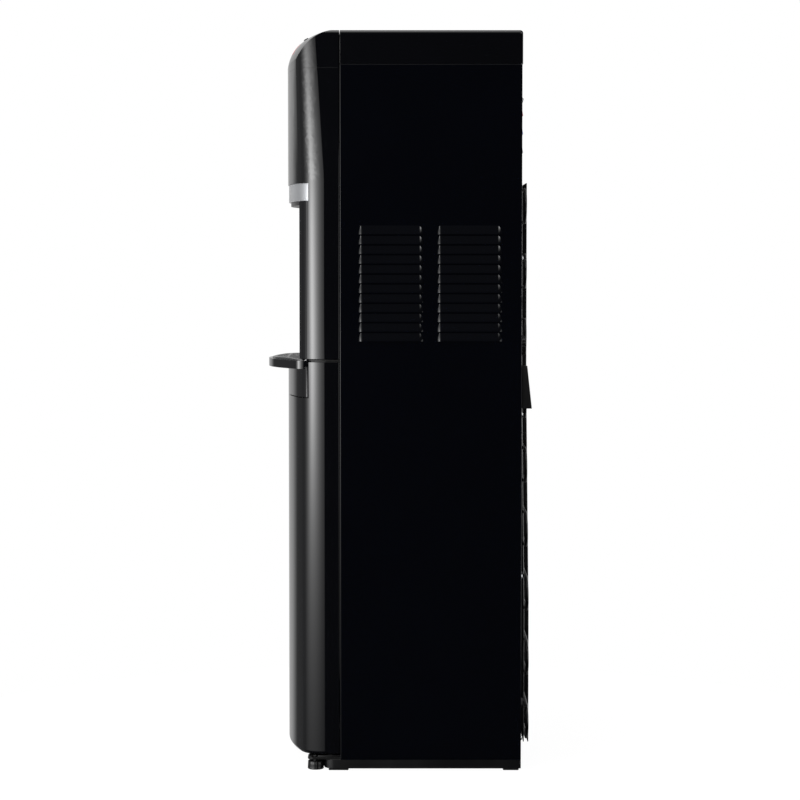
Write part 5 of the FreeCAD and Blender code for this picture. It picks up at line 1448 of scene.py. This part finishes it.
@dataclass
class Base:
    """Plinth, pads, brackets and levelling feet.

    Attributes:
        HANDS: sign and name of each side.
        edge: radius of the pads' and brackets' edges.
        foot_x: how far a foot's middle is from the cabinet's middle.
        foot_y: its place from front to back.
        shade_plate_and_lip_boxes: near and far corner of each box. The first is a dark upright plate behind
            the foot that stands in for the shade under the cabinet, as painted shade. The second is a thin lip
            under the door's side edge.
        dark_box_edge: radius of those boxes' edges.
    """

    HANDS = ((1, "right"), (-1, "left"))
    edge: float = 0.0006
    foot_x: float = 0.1395
    foot_y: float = -0.1165
    # The upright plates behind the feet are painted shade: dark solid pieces that stand in for the shade under
    # the cabinet.
    shade_plate_and_lip_boxes: tuple[tuple[Place, Place], ...] = (
        ((0.1195, -0.1262, 0.0012), (0.1265, -0.1008, 0.0213)),
        ((0.1516, -0.1135, 0.018), (0.1532, -0.0805, 0.0213)))
    dark_box_edge: float = 0.0006

    def shade_plate_and_lip(self, side: int, name: str) -> None:
        """Builds the dark upright plate behind a foot, which is painted shade standing in for the shade under
        the cabinet, and the lip under the door's side edge.

        Args:
            side: 1 for the pieces on +X, -1 for the ones on -X.
            name: name of the piece.
        """
        build = bmesh.new()
        for near, far in self.shade_plate_and_lip_boxes:
            for vert in (v.co for v in bmesh.ops.create_cube(build, size=1.0)["verts"]):
                x, y, z = (far[k] if vert[k] > 0 else near[k] for k in range(3))
                vert.xyz = side * x, y, z
        bmesh.ops.recalc_face_normals(build, faces=build.faces)
        bmesh.ops.bevel(build, geom=build.edges[:], offset=self.dark_box_edge, segments=3, affect="EDGES",
                        profile=0.5)
        piece = new_piece(name, build)
        shade(piece)
        placed(piece, body_of("foot_brackets"), slot_of("foot_brackets"))

    def foot(self, side: int, node: str) -> None:
        """Builds a levelling foot.

        Args:
            side: 1 for the foot on +X, -1 for the one on -X.
            node: the frame node that it stands for.
        """
        middle = (side * self.foot_x, self.foot_y, 0.0)
        Knob(node, middle, radius=0.0108, height=0.0124, grips=12, grip=0.0003, stem=0.0038, stem_top=0.0197,
             thread=0.0003, squareness=0.16, ring=0.0016).build()

    def build(self) -> None:
        """Builds the base."""
        Plinth().build()
        mouldings(("foot_pads", "foot_brackets"), self.edge)
        # Dark plates beside each foot, which stand in for the shade under the cabinet, and the lips under the
        # door's side edges.
        for side, hand in self.HANDS:
            self.shade_plate_and_lip(side, hand + "_shade_plate_and_lip")
        for side, hand in self.HANDS:
            self.foot(side, hand + "_levelling_foot")


@dataclass
class Cabinet:
    """Side panels, lid, head, fascia and the trim band.

    Attributes:
        covers: the nodes that are plain mouldings.
        edge: radius of their edges.
        buttons: the push buttons' nodes.
        button_edge: radius of a button's edges.
        button_segments: facets across a button's edge.
    """

    covers: tuple[str, ...] = ("front_fascia", "head_cap", "top_cover", "child_lock", "rear_panel")
    edge: float = 0.0005
    buttons: tuple[str, ...] = ("cold_button", "room_button", "hot_button")
    button_edge: float = 0.0008
    button_segments: int = 3

    def build(self) -> None:
        """Builds the cabinet's outside."""
        SidePanel("right_side_panel", 1).build()
        SidePanel("left_side_panel", -1).build()
        mouldings(self.covers, self.edge)
        mouldings(self.buttons, self.button_edge, self.button_segments)
        TrimBand().build()


@dataclass
class Alcove:
    """Liner, nozzle cover and spouts over the drip tray.

    Attributes:
        nodes: the nodes that are plain mouldings.
        edge: radius of their edges.
    """

    nodes: tuple[str, ...] = ("alcove_liner", "spouts", "alcove_lamp")
    edge: float = 0.0006

    def build(self) -> None:
        """Builds the alcove."""
        mouldings(self.nodes, self.edge)
        NozzleCover().build()


@dataclass
class Door:
    """Door, drip tray and grille.

    Attributes:
        nodes: the nodes that are plain mouldings.
        edge: radius of their edges.
        bush_edge: radius of the bushes' edges.
        grille_edge: radius of the grille's edges.
    """

    nodes: tuple[str, ...] = ("door_skin", "door_liner")
    edge: float = 0.0005
    bush_edge: float = 0.0003
    grille_edge: float = 0.0004

    def build(self) -> None:
        """Builds the door."""
        mouldings(self.nodes, self.edge)
        Moulding("hinge_bushes", self.bush_edge, slot="black_satin").build()
        TrayApron().build()
        CrownedGrille(edge=self.grille_edge).build()
        Gasket().build()


@dataclass
class Inside:
    """Bottle bay and machine bay: pressed and moulded pieces with rounded edges.

    Attributes:
        nodes: the nodes that are plain mouldings.
        edge: radius of their edges.
    """

    nodes: tuple[str, ...] = ("bottle_floor", "mid_shelf", "tank_deck", "probe_hanger", "relay_cover",
                              "water_pump", "power_board", "control_board", "catch_plates", "front_frame")
    edge: float = 0.0004

    def build(self) -> None:
        """Builds the pieces inside."""
        mouldings(self.nodes, self.edge)
        Moulding("hinge_pins", self.edge, slot="dark_steel").build()


@dataclass
class Rear:
    """Condenser, wall spacers, switches, drain and rear screws.

    Attributes:
        nodes: the nodes that are plain mouldings.
        edge: radius of their edges.
    """

    nodes: tuple[str, ...] = ("wall_spacers", "switch_bezel", "condenser_clips", "heating_switch",
                              "cooling_switch", "lamp_switch", "cord_inlet")
    edge: float = 0.0004

    def drain_cap(self) -> None:
        """Builds the drain's screw cap, which lies on its side."""
        low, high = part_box("drain_cap")
        middle = ((low[0] + high[0]) / 2, low[1], (low[2] + high[2]) / 2)
        width, length = high[0] - low[0], high[1] - low[1]
        Knob("drain_cap", middle, radius=width / 2, height=length, grips=14, grip=0.0011, stem=0.004,
             stem_top=length, lying=True).build()

    def build(self) -> None:
        """Builds the back."""
        Condenser().build()
        CaseScrews().build()
        mouldings(self.nodes, self.edge)
        self.drain_cap()


# ---- surroundings ----------------------------------------------------------
@dataclass(frozen=True)
class Lamp:
    """Soft panel that fades from its middle to its edge.

    Attributes:
        name: the lamp's name.
        place: middle of the panel.
        target: what it faces.
        size: width and height.
        level: radiance at the middle.
        fall: reach of the bright middle to its low side, to its high side, and up and down.
    """

    name: str
    place: Place
    target: Place
    size: tuple[float, float]
    level: float
    fall: Place


@dataclass
class Studio:
    """Floor, lights, surroundings and camera. Lengths are in metres, angles in degrees.

    Attributes:
        camera_place: where the camera stands.
        pitch: how far the camera looks down.
        lens: focal length on a 36 mm sensor, in millimetres.
        key_corner: what the key light faces.
        key_turn: turn of the key light from +X towards -Y.
        key_reach: distance of the key light from the object.
        key_size: width and height of the key light.
        key_level: radiance at the middle of the key light.
        key_fall: reach of its bright middle, as a lamp's fall.
        louvres: middle of the louvres, which two lamps face.
        louvre_reach: distance of those lamps.
        louvre_ways: name, direction and level of each.
        louvre_size: width and height of those lamps.
        louvre_fall: reach of their bright middle.
        lamps: the other lamps.
        edge_fade: how fast a lamp fades far from its middle, on its low side.
        side_power: how suddenly a lamp fades up and down.
        fill_level: reflected light from the front and right.
        side_level: reflected light from the left.
        far_level: reflected light beside the wall behind.
        wall_level: what the wall behind adds.
        sky_level: what the sky adds.
        side_range: X of a direction where the left's light starts and is full.
        far_range: where it fades again.
        wall_range: where the wall behind starts and is full.
        sky_range: Z of a direction where the sky starts and is full.
        soft_level: light on dull surfaces.
        floor_radius: radius of the floor.
        floor_drop: how far it lies under the feet.
        floor_glow: brightness of the floor where it is seen.
        floor_white: share of it that doesn't take the shadow.
    """

    camera_place: Place = (3.757, 0.00285, 0.7163)
    pitch: float = 3.05
    lens: float = 115.8
    key_corner: Place = (0.15, -0.12, 0.66)
    key_turn: float = 57.0
    key_reach: float = 1.6
    key_size: tuple[float, float] = (4.2, 3.2)
    key_level: float = 13.0
    key_fall: Place = (0.35, 0.52, 0.35)
    louvres: Place = (0.155, 0.0, 0.69)
    louvre_reach: float = 1.6
    louvre_ways: tuple[tuple[str, Place, float], ...] = (
        ("upper front", (0.58, -0.6, 0.55), 6.0), ("upper rear", (0.58, 0.6, 0.55), 8.0))
    louvre_size: tuple[float, float] = (0.9, 0.7)
    louvre_fall: Place = (0.2, 0.2, 0.12)
    lamps: tuple[Lamp, ...] = (
        Lamp("rear right", (0.9, 1.5, 0.4), (0.15, 0.1, 0.4), (1.6, 1.1), 3.5, (0.3, 0.3, 0.4)),
        Lamp("overhead", (0.6, -0.1, 2.8), (0.15, 0.0, 1.0), (2.4, 2.4), 3.0, (0.6, 0.6, 0.6)),
        Lamp("rear left", (-1.2, 1.6, 0.4), (0.0, 0.0, 0.4), (2.0, 1.1), 4.0, (0.5, 0.5, 0.5)))
    edge_fade: float = 0.1
    side_power: float = 2.9
    fill_level: float = 0.025
    side_level: float = 0.24
    far_level: float = 0.1
    wall_level: float = 0.45
    sky_level: float = 0.045
    side_range: tuple[float, float] = (-0.1, -0.4)
    far_range: tuple[float, float] = (-0.45, -0.83)
    wall_range: tuple[float, float] = (-0.862, -0.925)
    sky_range: tuple[float, float] = (0.1, 0.35)
    soft_level: float = 0.25
    floor_radius: float = 0.8
    floor_drop: float = 0.0002
    floor_glow: float = 1.08
    floor_white: float = 0.88

    def build(self) -> None:
        """Builds the whole studio."""
        self.floor()
        self.world()
        self.lights()
        self.camera()

    def seen(self, graph: Graph, path: bpy.types.Node) -> Socket:
        """Returns 1 for what is seen straight or through glass, and 0 for the rest."""
        return graph.greater(path.outputs["Is Camera Ray"], path.outputs["Is Transmission Ray"])

    def floor(self) -> None:
        """Lays a pale floor that takes the shadow, shows white and stays out of reflections."""
        place = (0, 0, -self.floor_drop)
        bpy.ops.mesh.primitive_circle_add(vertices=128, radius=self.floor_radius, fill_type="NGON",
                                          location=place)
        floor = bpy.context.object
        floor.name = "floor"
        material = bpy.data.materials.new("pale floor")
        graph = emptied(material)
        path = graph.add("ShaderNodeLightPath")
        matte = graph.add("ShaderNodeBsdfDiffuse", {"Color": (0.8, 0.8, 0.8, 1)}).outputs[0]
        glow = {"Color": (1, 1, 1, 1), "Strength": self.floor_glow}
        white = graph.add("ShaderNodeEmission", glow).outputs[0]
        share = graph.times(self.seen(graph, path), self.floor_white)
        both = graph.add("ShaderNodeMixShader", {0: share, 1: matte, 2: white}).outputs[0]
        clear = graph.add("ShaderNodeBsdfTransparent").outputs[0]
        mirrored = path.outputs["Is Glossy Ray"]
        shown = graph.add("ShaderNodeMixShader", {0: mirrored, 1: both, 2: clear}).outputs[0]
        graph.add("ShaderNodeOutputMaterial", {"Surface": shown})
        floor.data.materials.append(material)

    def world(self) -> None:
        """Surrounds the object with white where it is seen, and with dim walls and a sky in reflections."""
        world = bpy.data.worlds.new("studio")
        bpy.context.scene.world = world
        graph = emptied(world)
        path = graph.add("ShaderNodeLightPath")
        way = graph.add("ShaderNodeTexCoord").outputs["Generated"]
        x, _, z = graph.add("ShaderNodeSeparateXYZ", {0: way}).outputs
        near = graph.ranged(x, *self.side_range, self.fill_level, self.side_level)
        side = graph.less(near, graph.ranged(x, *self.far_range, 0.0, self.side_level - self.far_level))
        sky = graph.ranged(z, *self.sky_range, 0.0, self.sky_level)
        wall = graph.ranged(x, *self.wall_range, 0.0, self.wall_level)
        around = graph.plus(graph.plus(side, sky), wall)
        glossy = graph.times(path.outputs["Is Glossy Ray"], around)
        soft = graph.times(path.outputs["Is Diffuse Ray"], self.soft_level)
        total = graph.greater(graph.greater(self.seen(graph, path), glossy), soft)
        back = graph.add("ShaderNodeBackground", {"Color": (1, 1, 1, 1), "Strength": total}).outputs[0]
        graph.add("ShaderNodeOutputWorld", {"Surface": back})

    def glow(self, graph: Graph, lamp: Lamp) -> Socket:
        """Adds the fade of a lamp.

        Args:
            graph: the lamp's nodes.
            lamp: its sizes.

        Returns:
            The brightness of each point, 1 at the middle.
        """
        facing = graph.add("ShaderNodeNewGeometry").outputs["Parametric"]
        u, v, _ = graph.add("ShaderNodeSeparateXYZ", {0: facing}).outputs
        low, high, up = lamp.fall
        across = graph.times(graph.less(u, 0.5), lamp.size[0])
        along = graph.times(graph.less(v, 0.5), lamp.size[1] / up)
        first = graph.maths("DIVIDE", graph.maths("MINIMUM", across, 0.0), low)
        second = graph.maths("DIVIDE", graph.greater(across, 0.0), high)
        side = graph.plus(graph.power(graph.less(second, first), 2.0),
                          graph.times(graph.power(first, 4.0), self.edge_fade))
        fade = graph.plus(side, graph.power(graph.maths("ABSOLUTE", along), self.side_power))
        return graph.maths("DIVIDE", 1.0, graph.plus(fade, 1.0))

    def hang(self, lamp: Lamp) -> None:
        """Hangs a lamp where the camera doesn't see it.

        Args:
            lamp: the lamp.
        """
        light = bpy.data.lights.new(lamp.name, "AREA")
        light.shape, light.size, light.size_y = "RECTANGLE", *lamp.size
        light.energy = lamp.level * math.pi * lamp.size[0] * lamp.size[1]
        graph = emptied(light)
        shine = {"Color": (1, 1, 1, 1), "Strength": self.glow(graph, lamp)}
        graph.add("ShaderNodeOutputLight", {"Surface": graph.add("ShaderNodeEmission", shine).outputs[0]})
        panel = bpy.data.objects.new(lamp.name, light)
        panel.visible_camera = False
        bpy.context.scene.collection.objects.link(panel)
        place = Vector(lamp.place)
        panel.location = place
        panel.rotation_euler = (Vector(lamp.target) - place).to_track_quat("-Z", "Y").to_euler()

    def lights(self) -> None:
        """Hangs the soft lights."""
        turn = math.radians(self.key_turn)
        reach = self.key_reach * Vector((math.cos(turn), -math.sin(turn), 0.0))
        key = tuple(Vector(self.key_corner) + reach)
        lamps = [Lamp("key", key, self.key_corner, self.key_size, self.key_level, self.key_fall)]
        for name, way, level in self.louvre_ways:
            place = tuple(Vector(self.louvres) + self.louvre_reach * Vector(way))
            lamps.append(Lamp(name, place, self.louvres, self.louvre_size, level, self.louvre_fall))
        for lamp in (*lamps, *self.lamps):
            self.hang(lamp)

    def camera(self) -> None:
        """Places the camera."""
        lens = bpy.data.cameras.new("camera")
        lens.lens, lens.sensor_width, lens.clip_end = self.lens, 36.0, 100.0
        camera = bpy.data.objects.new("camera", lens)
        bpy.context.scene.collection.objects.link(camera)
        camera.location = self.camera_place
        camera.rotation_euler = (math.radians(90 - self.pitch), 0, math.radians(90))
        bpy.context.scene.camera = camera


def main() -> None:
    """Builds every sub-assembly and the studio."""
    logging.basicConfig(level=logging.INFO, format="%(name)s %(message)s")
    bpy.context.scene.view_settings.view_transform = "Standard"
    for node in frame["nodes"]:
        dress(node)
    for assembly in (Base(), Cabinet(), Alcove(), Door(), Inside(), Rear()):
        assembly.build()
    Studio().build()


if __name__ == "__main__":
    main()
